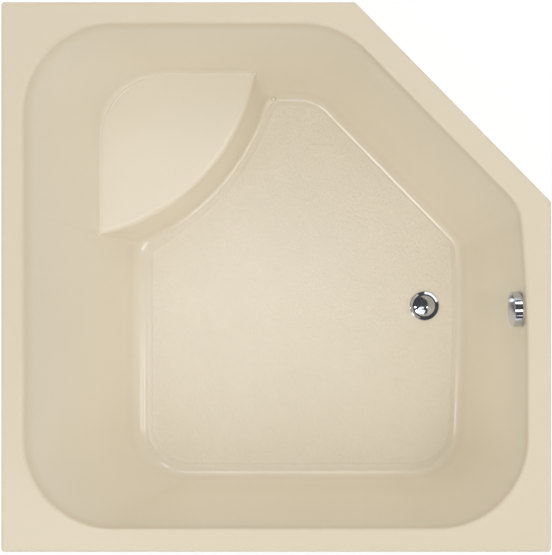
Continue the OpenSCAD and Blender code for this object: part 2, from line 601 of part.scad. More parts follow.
// Rounding of the flange's outer edge, as steps in from the edge and up from its underside. From
// its last step the flange slopes in and down to the bowl under the stopper.
edge_steps = [[0, 1], [0.3, 2], [0.8, 2.7], [1.4, 3]];
hub_r = 7;
hub_drop = 16;
hub_z = flange_z - hub_drop;
cross_t = 3;
cross_h = 7;
module drain_flange() {
  color([0.80, 0.81, 0.83]) at_drain() difference() {
    union() {
      rotate_extrude($fn = fine) polygon(concat(
        [[bore_r, flange_z - barrel_l], [barrel_r, flange_z - barrel_l],
          [barrel_r, flange_z], [flange_r, flange_z]],
        [for (e = edge_steps) [flange_r - e[0], flange_z + e[1] * flange_t / 3]],
        [[bowl_edge, bowl_z1], [seat_lip, bowl_z0], [bore_r, flange_z - 2]]));
      translate([0, 0, hub_z]) linear_extrude(cross_h) {
        circle(r = hub_r, $fn = fine);
        for (a = [45, 135]) rotate(a) square([2 * bore_r + over, cross_t], center = true);
      }
    }
    rod(stem_r + run_fit, hub_z - over, hub_z + cross_h + over);
  }
}
module flange_seal() {
  color([0.25, 0.25, 0.25]) at_drain() ring(flange_r - seal_in, hole_r + seal_bore, floor_top, flange_z);
}
module shoe_gasket() {
  color([0.15, 0.15, 0.15]) at_drain() ring(shoe_flange_r, hole_r + seal_bore, shoe_top, under_z);
}

// Overflow linkage sizes shared by both ends of the cable
lever_arm = lift / 2 / sin(lever_half);
yoke_y = crank_r * sin(knob_turn / 2);
crank_drop = yoke_y / tan(lever_half);
crank_len = crank_drop / cos(lever_half);
yoke_back = 40.5;
collar_in = 8;
top_start = -16;
top_straight = 15;
cable_top = ov + yoke_back * [cos(knob_tilt) * cos(wall_turn), cos(knob_tilt) * sin(wall_turn),
  -sin(knob_tilt)];
drop_l = top_start - top_straight - sheath_top_bend;
cable_x = cable_top[0] - drop_l * sin(wall_turn);
cable_y = cable_top[1] + drop_l * cos(wall_turn);
cable_dy = cable_y - drain_y;

// Outlet body under the drain, with a socket towards the waste fitting
shoe_gap = 5;
shoe_r = barrel_r + shoe_gap;
shoe_low = 19;
shoe_floor = waste_z - shoe_low;
shoe_wall = 3.5;
shoe_in = 3;
tube_gap = 0.3;
socket_wall = 3;
way_gap = 0.5;
sock_in = tube_r + tube_gap;
sock_r = sock_in + socket_wall;
way_r = tube_r - tube_wall - way_gap;
shoe_end = 50;
pivot_x = lever_arm * cos(lever_half);
spindle_r = 3;
fork_z = waste_z - crank_drop;
fork_x = pivot_x + yoke_y;
boss_y = -28;
boss_r = 6.5;
boss_len = 12;
// Bracket that holds the end of the cable: a post, a neck, an arm and an upright lug
lug_out = 28;
lug_x = pivot_x + lug_out;
lug_t = 5;
lug_w = 12;
lug_h = 15;
bracket_x = 6;
bracket_t = 3.5;
bracket_drop = 9;
bracket_z = fork_z - bracket_drop;
arm_side = 30;
neck = [18, 22];
neck_y = -38;
post = [14, 10];
post_y = -24;
module drain_shoe() {
  color([0.16, 0.16, 0.17]) at_drain() difference() {
    union() {
      rod(shoe_flange_r, shoe_top - shoe_flange_t, shoe_top);
      rod(shoe_r, shoe_floor - shoe_wall, shoe_top - over);
      translate([0, 0, waste_z]) rotate([0, 90, 0]) cylinder(r = sock_r, h = shoe_end, $fn = fine);
      translate([pivot_x, boss_y, waste_z]) rotate([-90, 0, 0]) rod(boss_r, 0, boss_len);
      translate([bracket_x, cable_dy - lug_w / 2, bracket_z])
        cube([lug_x - bracket_x, -cable_dy - arm_side, bracket_t]);
      translate([bracket_x, neck_y, bracket_z]) cube([neck[0], neck[1], bracket_t]);
      translate([bracket_x, post_y, bracket_z]) cube([post[0], post[1], shoe_floor - over - bracket_z]);
      translate([lug_x, cable_dy - lug_w / 2, bracket_z]) cube([lug_t, lug_w, lug_h]);
    }
    rod(barrel_r - shoe_in, shoe_floor, shoe_top + over);
    rod(barrel_r + run_fit, flange_z - barrel_l - over, shoe_top + over);
    translate([0, 0, waste_z]) rotate([0, 90, 0]) rod(way_r, 0, shoe_end + over);
    translate([0, 0, waste_z]) rotate([0, 90, 0]) rod(sock_in, shoe_end - socket_l, shoe_end + over);
    translate([pivot_x, boss_y, waste_z]) rotate([-90, 0, 0])
      rod(spindle_r + run_fit, -over, boss_len + lever_w);
    translate([lug_x, cable_dy, fork_z]) rotate([0, 90, 0]) rod(sheath_r + run_fit, -over, lug_t + over);
  }
}

// Stopper: domed cap, seal ring and stem
cap_sink = 0.7;
cap_z = flange_top - cap_sink;
cap_skirt = 1.6;
cap_lip = 3;
cap_boss_r = 8;
seal_w = 6;
seal_r = cap_r - cap_lip;
tip_r = 3;
side_fit = 0.1;
tip_z = waste_z - lever_arm * sin(lever_half);
stem_z = tip_z + tip_r + run_fit;
boss_l = 5;
module stopper_cap() {
  dome_r = (cap_r * cap_r + cap_h * cap_h) / (2 * cap_h);
  dome_a = asin(cap_r / dome_r);
  color([0.80, 0.81, 0.83]) at_drain() translate([0, 0, cap_z]) {
    difference() {
      rotate_extrude($fn = fine) polygon(concat([[0, 0], [cap_r - 1, 0], [cap_r - 0.2, 0.5]],
        [for (k = [0:10]) let (a = dome_a * (1 - k / 10))
          [dome_r * sin(a), cap_skirt + dome_r * cos(a) - dome_r * cos(dome_a)]]));
      ring(seal_r + side_fit, cap_boss_r, -over, cap_skirt);
    }
    rod(cap_boss_r, -boss_l, cap_skirt + side_fit);
  }
}
module stopper_seal() {
  color([0.12, 0.12, 0.12]) at_drain()
    ring(seal_r, seal_r - seal_w, bowl_z(seal_r) + run_fit, cap_z + cap_skirt);
}
module stopper_stem() {
  color([0.72, 0.60, 0.32]) at_drain() rod(stem_r, stem_z, cap_z - boss_l);
}

// Lift lever inside the outlet body, its spindle and the crank outside
lever_w = 7;
lever_t = 3.6;
lever_hub_r = 6;
side_gap = 0.3;
crank_t = 3;
crank_w = 8;
crank_end = 3.5;
fork_w = 5;
crank_y0 = cable_dy + fork_w / 2 + side_gap + crank_t;
module at_pivot() { translate([drain_x + pivot_x, drain_y, waste_z]) children(); }
module lift_lever() {
  color([0.75, 0.76, 0.78]) at_pivot() rotate([90, -lever_half, 0]) difference() {
    union() {
      rod(lever_hub_r, -lever_w / 2, lever_w / 2);
      translate([-lever_arm, -lever_t / 2, -lever_w / 2]) cube([lever_arm, lever_t, lever_w]);
      translate([-lever_arm, 0, 0]) rod(tip_r, -lever_w / 2, lever_w / 2);
    }
    rod(spindle_r + run_fit, -lever_w, lever_w);
  }
}
clip_t = 1.2;
clip_r = 5;
spindle_past = 0.6;
shoulder_r = 4.5;
spindle_end = crank_y0 - crank_t - clip_t - spindle_past;
module lever_spindle() {
  color([0.72, 0.60, 0.32]) at_pivot() rotate([-90, 0, 0]) {
    rod(spindle_r, spindle_end, lever_w / 2 + 2);
    rod(shoulder_r, crank_y0, boss_y - side_gap);
    rod(shoulder_r, lever_w / 2, lever_w / 2 + clip_t);
  }
}
pin_r = 1.5;
slot_gap = 0.12;
slot_l = 1.5;
slot_in = 0.3;
module lever_crank() {
  color([0.75, 0.76, 0.78]) at_pivot() translate([0, crank_y0, 0]) rotate([90, -lever_half, 0]) difference() {
    union() {
      rod(lever_hub_r, 0, crank_t);
      translate([-crank_w / 2, -crank_len - crank_end, 0]) cube([crank_w, crank_len + crank_end, crank_t]);
    }
    rod(spindle_r + run_fit, -over, crank_t + over);
    translate([-pin_r - slot_gap, -crank_len - slot_in, -over])
      cube([2 * (pin_r + slot_gap), slot_l, crank_t + 2 * over]);
    for (s = [0, slot_l]) translate([0, s - crank_len - slot_in, 0])
      rod(pin_r + slot_gap, -over, crank_t + over);
  }
}
module crank_clip() {
  color([0.6, 0.6, 0.62]) at_pivot() translate([0, crank_y0 - crank_t, 0]) rotate([90, 0, 0])
    ring(clip_r, spindle_r + run_fit, 0, clip_t);
}

// Cable: sheath with its bends, and the rods that slide in both of its ends
rod_in = 12;
low_in = 8;
low_start = lug_x - low_in;
low_bore = 22;
sheath_bore = rod_r + run_fit;
collar_r = 4;
collar_t = 2.5;
eye = 8;
pin_past = 0.8;
module cable_fork() {
  color([0.75, 0.76, 0.78]) translate([drain_x, cable_y, fork_z]) {
    translate([fork_x - eye / 2, -fork_w / 2, -eye / 2]) cube([eye, fork_w, eye]);
    translate([fork_x, 0, 0]) rotate([-90, 0, 0]) rod(pin_r, 0, fork_w / 2 + side_gap + crank_t + pin_past);
    rotate([0, 90, 0]) rod(rod_r, fork_x, low_start + rod_in);
  }
}
module bend(r, a0, a1) {
  rotate([0, 0, a0]) rotate_extrude(angle = a1 - a0, $fn = fine)
    translate([r, 0]) circle(r = sheath_r, $fn = fine);
}
// Straight run of sheath and the ferrule that joins it to a bend, local z along the sheath
ferrule_t = 0.8;
ferrule_half = 2.5;
run_gap = 1;
module run(z0, z1) { rod(sheath_r, z0, z1); }
module ferrule(z) { rod(sheath_r + ferrule_t, z - ferrule_half, z + ferrule_half); }
module collar(z) { rod(collar_r, z, z + collar_t); }
module control_cable() {
  color([0.10, 0.10, 0.10]) difference() {
    union() {
      translate(cable_top) rotate([0, 0, wall_turn]) {
        rotate([90, 0, 0]) {
          run(-top_start, top_straight - top_start - run_gap);
          collar(collar_in - top_start);
          ferrule(top_straight - top_start);
        }
        translate([0, top_start - top_straight, -sheath_top_bend]) rotate([0, -90, 180])
          bend(sheath_top_bend, 0, 90);
      }
      translate([cable_x, cable_y, 0]) {
        ferrule(cable_top[2] - sheath_top_bend);
        run(fork_z + sheath_bend + run_gap, cable_top[2] - sheath_top_bend - run_gap);
        ferrule(fork_z + sheath_bend);
      }
      translate([cable_x - sheath_bend, cable_y, fork_z + sheath_bend]) rotate([90, 0, 0])
        bend(sheath_bend, -90, 0);
      translate([0, cable_y, fork_z]) rotate([0, 90, 0]) {
        ferrule(cable_x - sheath_bend);
        run(drain_x + low_start, cable_x - sheath_bend - run_gap);
        collar(drain_x + lug_x + lug_t);
      }
    }
    translate(cable_top) rotate([0, 0, wall_turn]) rotate([90, 0, 0])
      rod(sheath_bore, -top_start - over, top_straight - top_start - over - run_gap);
    translate([drain_x + low_start, cable_y, fork_z]) rotate([0, 90, 0])
      rod(sheath_bore, -over, low_bore - over);
  }
}

// Sliding yoke behind the overflow, moved by the spindle's crank pin
crank_pin_r = 2;
yoke_gap = 0.25;
yoke_t = 4;
yoke_w = 10;
yoke_low = 4;
yoke_end = 6.5;
yoke_in = 5;
slot_play = 0.6;
slot_lo = crank_r * cos(knob_turn / 2) - crank_pin_r - slot_play;
slot_hi = crank_r + crank_pin_r + slot_play;
yoke_rod = yoke_y - top_start + yoke_in;
module cable_yoke() {
  color([0.75, 0.76, 0.78]) at_overflow() translate([0, yoke_y, -yoke_back]) difference() {
    union() {
      translate([-yoke_low, -yoke_w / 2, -yoke_t / 2]) cube([slot_hi + yoke_end, yoke_w, yoke_t]);
      rotate([90, 0, 0]) rod(rod_r, 0, yoke_rod);
    }
    translate([slot_lo, -crank_pin_r - yoke_gap, -yoke_t])
      cube([slot_hi - slot_lo, 2 * (crank_pin_r + yoke_gap), 2 * yoke_t]);
  }
}

// Waste tubes
fit_x = half - overflow_tube_in;
fit_end = 44;
stop = fit_end - socket_l;
nut_over = 6;
tube_x0 = drain_x + shoe_end - socket_l;
module tube(l) { ring(tube_r, tube_r - tube_wall, 0, l); }
module drain_tube() {
  color([0.17, 0.17, 0.18]) translate([tube_x0, drain_y, waste_z]) rotate([0, 90, 0])
    tube(fit_x - stop - tube_x0);
}
module three_ways() {
  children();
  rotate([0, -90, 0]) children();
  rotate([-90, 0, 0]) children();
}
module waste_fitting() {
  color([0.15, 0.15, 0.16]) translate([fit_x, drain_y, waste_z]) difference() {
    union() {
      sphere(r = sock_r, $fn = fine);
      three_ways() cylinder(r = sock_r, h = fit_end, $fn = fine);
    }
    sphere(r = way_r, $fn = fine);
    three_ways() rod(way_r, 0, fit_end + over);
    three_ways() rod(sock_in, stop, fit_end + over);
  }
}
// The outlet tube has a bead that stops the hose or pipe pushed over its free end
bead_h = 1.6;
bead_w = 3;
bead_gap = 0.5;
module outlet_tube() {
  bead_z = socket_l + nut_over + bead_gap;
  color([0.17, 0.17, 0.18]) translate([fit_x, drain_y + stop, waste_z]) rotate([-90, 0, 0]) {
    tube(socket_l + nut_over + outlet_l);
    ring(tube_r + bead_h, tube_r - tube_wall, bead_z, bead_z + bead_w);
  }
}
body_drop = 60;
body_end = ov_z - body_drop;
module overflow_tube() {
  color([0.17, 0.17, 0.18]) translate([fit_x, drain_y, waste_z + stop])
    tube(body_end + socket_l - waste_z - stop);
}

// Overflow body behind the wall, its gasket, and the plate that clamps it from the front
body_r = 27;
body_in = 4;
body_back = -32;
body_wall = 3.5;
body_flange = -18;
body_tower = 14;
gasket_gap = 2.6;
screw_y = 16;
screw_r = 2;
screw_boss_r = 4.5;
boss_face = -14.5;
axle_r = 4;
hood_w = 12;
hood_end = 6;
way_l = 20;
module behind_wall(gap) { at_wall() translate([-far, -far, -wall_back - gap]) cube([2 * far, 2 * far, far]); }
module overflow_body() {
  color([0.15, 0.15, 0.16]) difference() {
    union() {
      difference() {
        union() {
          at_overflow() rod(body_r, body_back, 0);
          at_overflow() rod(land_r, body_flange, 0);
          translate([fit_x, drain_y, 0]) rod(sock_r, body_end, ov_z - body_tower);
        }
        at_overflow() rod(body_r - body_in, body_back + body_wall, land_r);
        behind_wall(gasket_gap);
      }
      for (s = [-1, 1]) at_overflow() translate([0, s * screw_y, 0]) rod(screw_boss_r, body_back, boss_face);
      // Strap that holds the end of the cable
      at_overflow() translate([-hood_w / 2, top_start - collar_in, -yoke_back - hood_end])
        cube([hood_w, lug_t, yoke_back + hood_end + body_back + over]);
    }
    at_overflow() rod(axle_r + run_fit, body_back - over, body_back + 2 * body_wall);
    for (s = [-1, 1]) at_overflow() translate([0, s * screw_y, 0])
      rod(screw_r + run_fit, body_back + body_wall, 0);
    translate([fit_x, drain_y, body_end]) rod(way_r, socket_l - over, socket_l + way_l);
    translate([fit_x, drain_y, body_end]) rod(sock_in, -over, socket_l);
    at_overflow() translate([0, top_start - collar_in, -yoke_back]) rotate([-90, 0, 0])
      rod(sheath_r + run_fit, -over, lug_t + over);
  }
}
module overflow_gasket() {
  color([0.13, 0.13, 0.13]) difference() {
    at_overflow() ring(land_r - side_gap, overflow_hole_r + side_gap, -far / 2, 0);
    behind_wall(run_fit);
    at_wall() translate([-far, -far, -wall_back - gasket_gap - far]) cube([2 * far, 2 * far, far]);
  }
}
plate_t = 2.4;
plate_set = 2;
plate_r = land_r - plate_set;
plate_hub_r = 8;
plate_hub_l = 6;
drain_hole_r = 5.5;
drain_hole_at = 15.5;
screw_play = 0.3;
head_r = 3.8;
head_t = 1.8;
module overflow_plate() {
  color([0.78, 0.79, 0.81]) at_overflow() difference() {
    union() {
      rod(plate_r, 0, plate_t);
      rod(plate_hub_r, -plate_hub_l, plate_t / 2);
    }
    rod(axle_r + run_fit, -plate_hub_l - over, plate_t + over);
    for (a = [45:90:315]) rotate([0, 0, a]) translate([drain_hole_at, 0, 0])
      rod(drain_hole_r, -plate_hub_l, plate_t + over);
    for (s = [-1, 1]) translate([0, s * screw_y, 0]) {
      rod(screw_r + screw_play, -over, plate_t + over);
      translate([0, 0, plate_t - head_t])
        cylinder(r1 = screw_r + screw_play, r2 = head_r + screw_play, h = head_t, $fn = fine);
    }
  }
}
screw_l = 24;
cross_l = 4;
cross_w = 0.8;
cross_d = 0.9;
module plate_screws() {
  color([0.70, 0.71, 0.73]) for (s = [-1, 1]) at_overflow() translate([0, s * screw_y, plate_t - head_t])
    difference() {
      union() {
        cylinder(r1 = screw_r, r2 = head_r, h = head_t, $fn = fine);
        rod(screw_r, head_t - screw_l, head_t / 2);
      }
      for (a = [0, 90]) rotate([0, 0, a]) translate([-cross_l / 2, -cross_w / 2, head_t - cross_d])
        cube([cross_l, cross_w, head_t]);
    }
}

// Overflow knob with its hub, ribs and water notch, and the spindle it turns
knob_wall = 3.5;
knob_face = 3;
knob_round = 1.6;
knob_bevel = 0.6;
hub_out = 9;
axle_in = 13;
axle_play = 0.2;
notch_w = 26;
notch_h = 8;
rib_t = 2.5;
rib_z = 6;
grub_z = 8.5;
grub_r = 2.5;
grub_l = 6;
hex_r = 1.3;
hex_d = 2;
module overflow_knob() {
  color([0.80, 0.81, 0.83]) at_overflow() translate([0, 0, knob_gap]) difference() {
    union() {
      difference() {
        rotate_extrude($fn = fine) polygon([[0, 0], [knob_r - knob_bevel, 0], [knob_r, knob_bevel],
          [knob_r, knob_t - knob_round], [knob_r - 0.5 * knob_round, knob_t - 0.3 * knob_round],
          [knob_r - knob_round, knob_t], [0, knob_t]]);
        rod(knob_r - knob_wall, -over, knob_t - knob_face);
      }
      rod(hub_out, over, knob_t - over);
      for (a = [30:60:330]) rotate([0, 0, a]) translate([0, -rib_t / 2, rib_z])
        cube([knob_r - over, rib_t, knob_t - rib_z - knob_face / 2]);
    }
    rod(axle_r + run_fit, -over, axle_in);
    translate([-knob_r - over, -notch_w / 2, -over]) cube([knob_wall + 4 * over, notch_w, notch_h]);
    translate([0, 0, grub_z]) rotate([0, -90, 0]) rod(grub_r + run_fit, 0, knob_r + over);
  }
}
disc_gap = 2;
disc_t = 3;
disc_rim = 1.5;
pin_end = 0.6;
disc_z = body_back - disc_gap;
module knob_spindle() {
  color([0.72, 0.60, 0.32]) at_overflow() {
    rod(axle_r, disc_z - over, knob_gap + axle_in - axle_play);
    rod(crank_r + crank_pin_r + disc_rim, disc_z - disc_t, disc_z);
    rotate([0, 0, knob_turn / 2]) translate([crank_r, 0, 0])
      rod(crank_pin_r, -yoke_back - yoke_t / 2 - pin_end, disc_z - over);
  }
}
module knob_screw() {
  color([0.62, 0.63, 0.65]) at_overflow() translate([-axle_r - run_fit, 0, knob_gap + grub_z])
    rotate([0, -90, 0]) difference() {
      rod(grub_r, 0, grub_l);
      translate([0, 0, grub_l - hex_d]) cylinder(r = hex_r, h = hex_d + over, $fn = 6);
    }
}

// Slip nuts and washers, local z out of the socket, zero at the socket's end
nut_back = 15;
nut_gap = 0.3;
nut_wall = 2.3;
nut_in = sock_r + nut_gap;
nut_r = nut_in + nut_wall;
nut_hole = 0.5;
lobe_h = 1;
lobe_w = 6;
lobe_l = 17;
lobe_in = 1.5;
washer_t = 2.5;
washer_gap = 0.2;
module at_sockets() {
  translate([drain_x + shoe_end, drain_y, waste_z]) rotate([0, 90, 0]) children();
  translate([fit_x, drain_y, waste_z]) three_ways() translate([0, 0, fit_end]) children();
  translate([fit_x, drain_y, body_end]) rotate([180, 0, 0]) children();
}
module slip_nuts() {
  color([0.22, 0.22, 0.23]) at_sockets() difference() {
    union() {
      rod(nut_r, -nut_back, nut_over);
      for (a = [0:45:315]) rotate([0, 0, a + 22.5]) translate([nut_r - lobe_in, -lobe_w / 2, -nut_back])
        cube([lobe_in + lobe_h, lobe_w, lobe_l]);
    }
    rod(nut_in, -nut_back - over, washer_t);
    rod(tube_r + nut_hole, 0, nut_over + over);
  }
}
module slip_washers() {
  color([0.30, 0.30, 0.30]) at_sockets() ring(sock_r - washer_gap, tube_r + run_fit, 0, washer_t);
}

tub_shell();
glass_fibre_backing();
rim_board_left();
rim_board_back();
rim_board_cut();
rim_board_right();
rim_board_front();
base_panel();
base_rails();
seat_board();
seat_posts();
drain_flange();
flange_seal();
shoe_gasket();
drain_shoe();
stopper_cap();
stopper_seal();
stopper_stem();
lift_lever();
lever_spindle();
lever_crank();
crank_clip();
cable_fork();
control_cable();
cable_yoke();
drain_tube();
waste_fitting();
outlet_tube();
overflow_tube();
overflow_body();
overflow_gasket();
overflow_plate();
plate_screws();
overflow_knob();
knob_spindle();
knob_screw();
slip_nuts();
slip_washers();
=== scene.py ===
import json
import math

import bmesh
import bpy
import numpy as np
from mathutils import Matrix, Vector


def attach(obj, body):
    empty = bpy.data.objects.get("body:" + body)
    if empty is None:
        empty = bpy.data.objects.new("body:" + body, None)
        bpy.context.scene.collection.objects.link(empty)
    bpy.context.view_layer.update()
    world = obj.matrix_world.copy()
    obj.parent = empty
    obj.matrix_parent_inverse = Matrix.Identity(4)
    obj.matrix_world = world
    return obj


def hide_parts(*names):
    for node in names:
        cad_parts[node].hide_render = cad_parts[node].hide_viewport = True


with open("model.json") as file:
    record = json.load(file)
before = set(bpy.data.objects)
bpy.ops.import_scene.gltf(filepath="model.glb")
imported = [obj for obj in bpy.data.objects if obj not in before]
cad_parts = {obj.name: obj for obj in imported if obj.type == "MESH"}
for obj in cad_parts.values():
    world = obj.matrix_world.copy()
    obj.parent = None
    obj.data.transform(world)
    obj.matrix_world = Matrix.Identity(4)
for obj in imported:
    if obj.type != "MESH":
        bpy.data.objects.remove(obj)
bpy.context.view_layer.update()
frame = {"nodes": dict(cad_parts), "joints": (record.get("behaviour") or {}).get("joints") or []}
nodes = frame["nodes"]
MM = 0.001

# Sizes of the tub's body in millimetres, the same as in the part's source
SIDE, TUB_H, BASIN, SEAT = 1219.0, 533.0, 457.0, 290.0
CUT_X, CUT_Y = 435.0, 443.0
OUTLINE_R, EDGE_R, LIP_H = 7.0, 6.0, 32.0
SHELL_T, BACKING_T, SKIN_GAP = 4.0, 4.5, 0.3
DECK = dict(left=47.5, back=47.5, right=51.5, front=52.5, cut=56.5)
RIM_R, RIM_SMALL_R, ROLL = 200.0, 100.0, 9.0
BOW_A, BOW_R = math.radians(4.4), 3000.0
RUN = dict(left=218.0, back=116.0, right=97.0, front=64.0, cut=112.0)
SWEEP = dict(right=0.22, front=0.32, cut=0.38, left=0.5)
FOOT_R = dict(left=128.0, right=122.0, small=45.0, back=105.0, pocket_back=42.0, pocket_left=46.0)
FOOT_R_MIN = 6
COVE = dict(left=32.0, front=26.0, right=15.0, cut=15.0, seat=13.0)
FALL = 4.0
SEAT_ARC, FOOT_ARC = (89.0, 42.2, 475.4), (47.6, 11.2, 560.7)
SEAT_CORNER_R, SEAT_COVE, SEAT_EDGE = 120.0, 11.0, 15.0
DRAIN = (370.0, -72.0)
FLANGE_R, RECESS_H, HOLE_R = 36.5, 1.5, 22.6
OVERFLOW_R, LAND_R = 24.0, 32.0

# Stations round the basin, and how finely each one and each row is split
N_BR, N_BOW, N_DR, N_TD, N_TIP, N_ARC, N_TL, N_BL = 7, 4, 5, 6, 2, 16, 8, 7
SPLIT = 4
ROW_SPLIT = 3
# Stations in the rounding of a tight outer corner, and those on the straights before the seat's first end
N_TIGHT, N_STRAIGHT = 3, 8

HALF = SIDE / 2
ZF, ZS = TUB_H - BASIN, TUB_H - SEAT
SEAT_FRAC = SEAT / BASIN
CUT_A = math.atan2(CUT_X, CUT_Y)
CUT_D = (HALF - CUT_X) * math.cos(CUT_A) + HALF * math.sin(CUT_A)
RIGHT_A = math.pi / 2


def vec(*v):
    return np.array(v, float)


def unit(v):
    return v / np.linalg.norm(v)


def mix(a, b, t):
    return a + (b - a) * t


def steps(n):
    """0 to n in SPLIT parts to a station."""
    return [i / SPLIT for i in range(n * SPLIT + 1)]


def meet(a, p, b, q):
    d = math.sin(b - a)
    return vec((p * math.sin(b) - q * math.sin(a)) / d, (q * math.cos(a) - p * math.cos(b)) / d)


def polar(c, r, a):
    return vec(c[0] + r * math.cos(a), c[1] + r * math.sin(a))


def round_c(a, p, b, q, r):
    v, k = meet(a, p, b, q), r / (1 + math.cos(b - a))
    return v - k * vec(math.cos(a) + math.cos(b), math.sin(a) + math.sin(b))


def corner(a, p, b, q, r, n):
    c = round_c(a, p, b, q, r)
    return [polar(c, r, mix(a, b, u / n)) for u in steps(n)]


def tight(a, p, b, q, r, n, s):
    """Tight corner with straight stations before and after its rounding."""
    c, k = round_c(a, p, b, q, r), (n - N_TIGHT) // 2
    u0, u1 = vec(math.sin(a), -math.cos(a)), vec(-math.sin(b), math.cos(b))
    out = []
    for u in steps(n):
        if u < k:
            out.append(polar(c, r, a) + u0 * s * (k - u) / k)
        elif u <= k + N_TIGHT:
            out.append(polar(c, r, mix(a, b, (u - k) / N_TIGHT)))
        else:
            out.append(polar(c, r, b) + u1 * s * (u - k - N_TIGHT) / (n - k - N_TIGHT))
    return out


def line(a, b, n):
    """The stations between a and b, n of the coarse ones."""
    m = (n + 1) * SPLIT
    return [mix(a, b, i / m) for i in range(1, m)]


# Distances of the five sides from the middle, at the rim and at the foot
RIM_D = [HALF - DECK["right"], CUT_D - DECK["cut"], HALF - DECK["back"], HALF - DECK["left"],
         HALF - DECK["front"]]
FOOT_D = [RIM_D[0] - RUN["right"], RIM_D[1] - RUN["cut"], RIM_D[2] - RUN["back"], RIM_D[3] - RUN["left"],
          RIM_D[4] - RUN["front"]]
BACK_A, LEFT_A, FRONT_A, FULL_A = RIGHT_A, math.pi, 1.5 * math.pi, 2 * math.pi
LOW_A, UP_A = math.radians(-2), math.radians(2.9)
# Direction at which the front wall has become the drain wall, and how far below zero directions are counted
TURNED_A, START_A = math.radians(340), 0.35
bow_y = DRAIN[1]
rim_low = meet(0, RIM_D[0], BACK_A, bow_y)
rim_up_d = rim_low[0] * math.cos(BOW_A) + bow_y * math.sin(BOW_A)
rim_bow = corner(0, RIM_D[0], BOW_A, rim_up_d, BOW_R, N_BOW)
rim_dr = corner(BOW_A, rim_up_d, CUT_A, RIM_D[1], RIM_SMALL_R, N_DR)
rim_td = corner(CUT_A, RIM_D[1], BACK_A, RIM_D[2], RIM_R, N_TD)
rim_tl = corner(BACK_A, RIM_D[2], LEFT_A, RIM_D[3], RIM_R, N_TL)
rim_bl = corner(LEFT_A, RIM_D[3], FRONT_A, RIM_D[4], RIM_R, N_BL)
rim_br = corner(FRONT_A, RIM_D[4], FULL_A, RIM_D[0], RIM_R, N_BR)
foot_low_d = FOOT_D[0] * math.cos(LOW_A) + bow_y * math.sin(LOW_A)
foot_up_d = FOOT_D[0] * math.cos(UP_A) + bow_y * math.sin(UP_A)
foot_arc_c = vec(-HALF + FOOT_ARC[0], HALF - FOOT_ARC[1])
seat_arc_c = vec(-HALF + SEAT_ARC[0], HALF - SEAT_ARC[1])


def foot_loop(e):
    """Foot of the walls, e millimetres further in."""
    q = {k: max(r - e, FOOT_R_MIN) for k, r in FOOT_R.items()}
    back, left, ra = FOOT_D[2] - e, FOOT_D[3] - e, FOOT_ARC[2] + e
    pb, pl = q["pocket_back"], q["pocket_left"]
    cx, cy = foot_arc_c
    c1 = vec(cx + math.sqrt((ra + pb) ** 2 - (cy - back + pb) ** 2), back - pb)
    c2 = vec(-left + pl, cy - math.sqrt((ra + pl) ** 2 - (pl - left - cx) ** 2))
    a1 = math.atan2(cy - c1[1], cx - c1[0])
    a2 = math.atan2(cy - c2[1], cx - c2[0]) % FULL_A
    if a1 < 0:
        a1 += FULL_A
    bow = corner(LOW_A, foot_low_d - e, UP_A, foot_up_d - e, BOW_R, N_BOW)
    dr = corner(UP_A, foot_up_d - e, CUT_A, FOOT_D[1] - e, q["small"], N_DR)
    td = corner(CUT_A, FOOT_D[1] - e, BACK_A, back, q["back"], N_TD)
    t1 = [polar(c1, pb, mix(BACK_A, a1, u / (2 * N_TIP))) for u in steps(2 * N_TIP)]
    arc = [polar(foot_arc_c, ra, mix(a1 - LEFT_A, a2 - LEFT_A, i / (N_ARC * SPLIT)))
           for i in range(1, N_ARC * SPLIT)]
    t2 = [polar(c2, pl, mix(a2, LEFT_A, u / (2 * N_TIP))) for u in steps(2 * N_TIP)]
    bl = corner(LEFT_A, left, FRONT_A, FOOT_D[4] - e, q["left"], N_BL)
    br = corner(FRONT_A, FOOT_D[4] - e, FULL_A + LOW_A, foot_low_d - e, q["right"], N_BR)
    return (line(br[-1], bow[0], 1) + bow + line(bow[-1], dr[0], 1) + dr + line(dr[-1], td[0], 2) + td
            + line(td[-1], t1[0], 1) + t1 + arc + t2 + line(t2[-1], bl[0], 3) + bl
            + line(bl[-1], br[0], 3) + br)


foot = foot_loop(0)
N = len(foot)

# Stations of the seat's two ends, counted in coarse stations
I_TIP1 = N_BOW + N_DR + N_TD + N_TIP + N_STRAIGHT
I_TIP2 = I_TIP1 + 2 * N_TIP + N_ARC
N_SIDE = (N_ARC - N_TL) // 2
seat_x = -mix(RIM_D[3], FOOT_D[3], SEAT_FRAC)
seat_y = mix(RIM_D[2], FOOT_D[2], SEAT_FRAC)
sx, sy, sr = seat_arc_c[0], seat_arc_c[1], SEAT_ARC[2]
tip1 = vec(sx + math.sqrt(sr ** 2 - (sy - seat_y) ** 2), seat_y)
tip2 = vec(seat_x, sy - math.sqrt(sr ** 2 - (seat_x - sx) ** 2))
foot_1, foot_2 = foot[I_TIP1 * SPLIT], foot[I_TIP2 * SPLIT]
rim_t1 = vec(foot_1[0] + (tip1[0] - foot_1[0]) / (1 - SEAT_FRAC), RIM_D[2])
rim_t2 = vec(-RIM_D[3], foot_2[1] + (tip2[1] - foot_2[1]) / (1 - SEAT_FRAC))
under_t1 = rim_t1 + (tip1 - rim_t1) / SEAT_FRAC
under_t2 = rim_t2 + (tip2 - rim_t2) / SEAT_FRAC
TIP_STEP = 24.0
ALONG_X, ALONG_Y = vec(TIP_STEP, 0), vec(0, TIP_STEP)


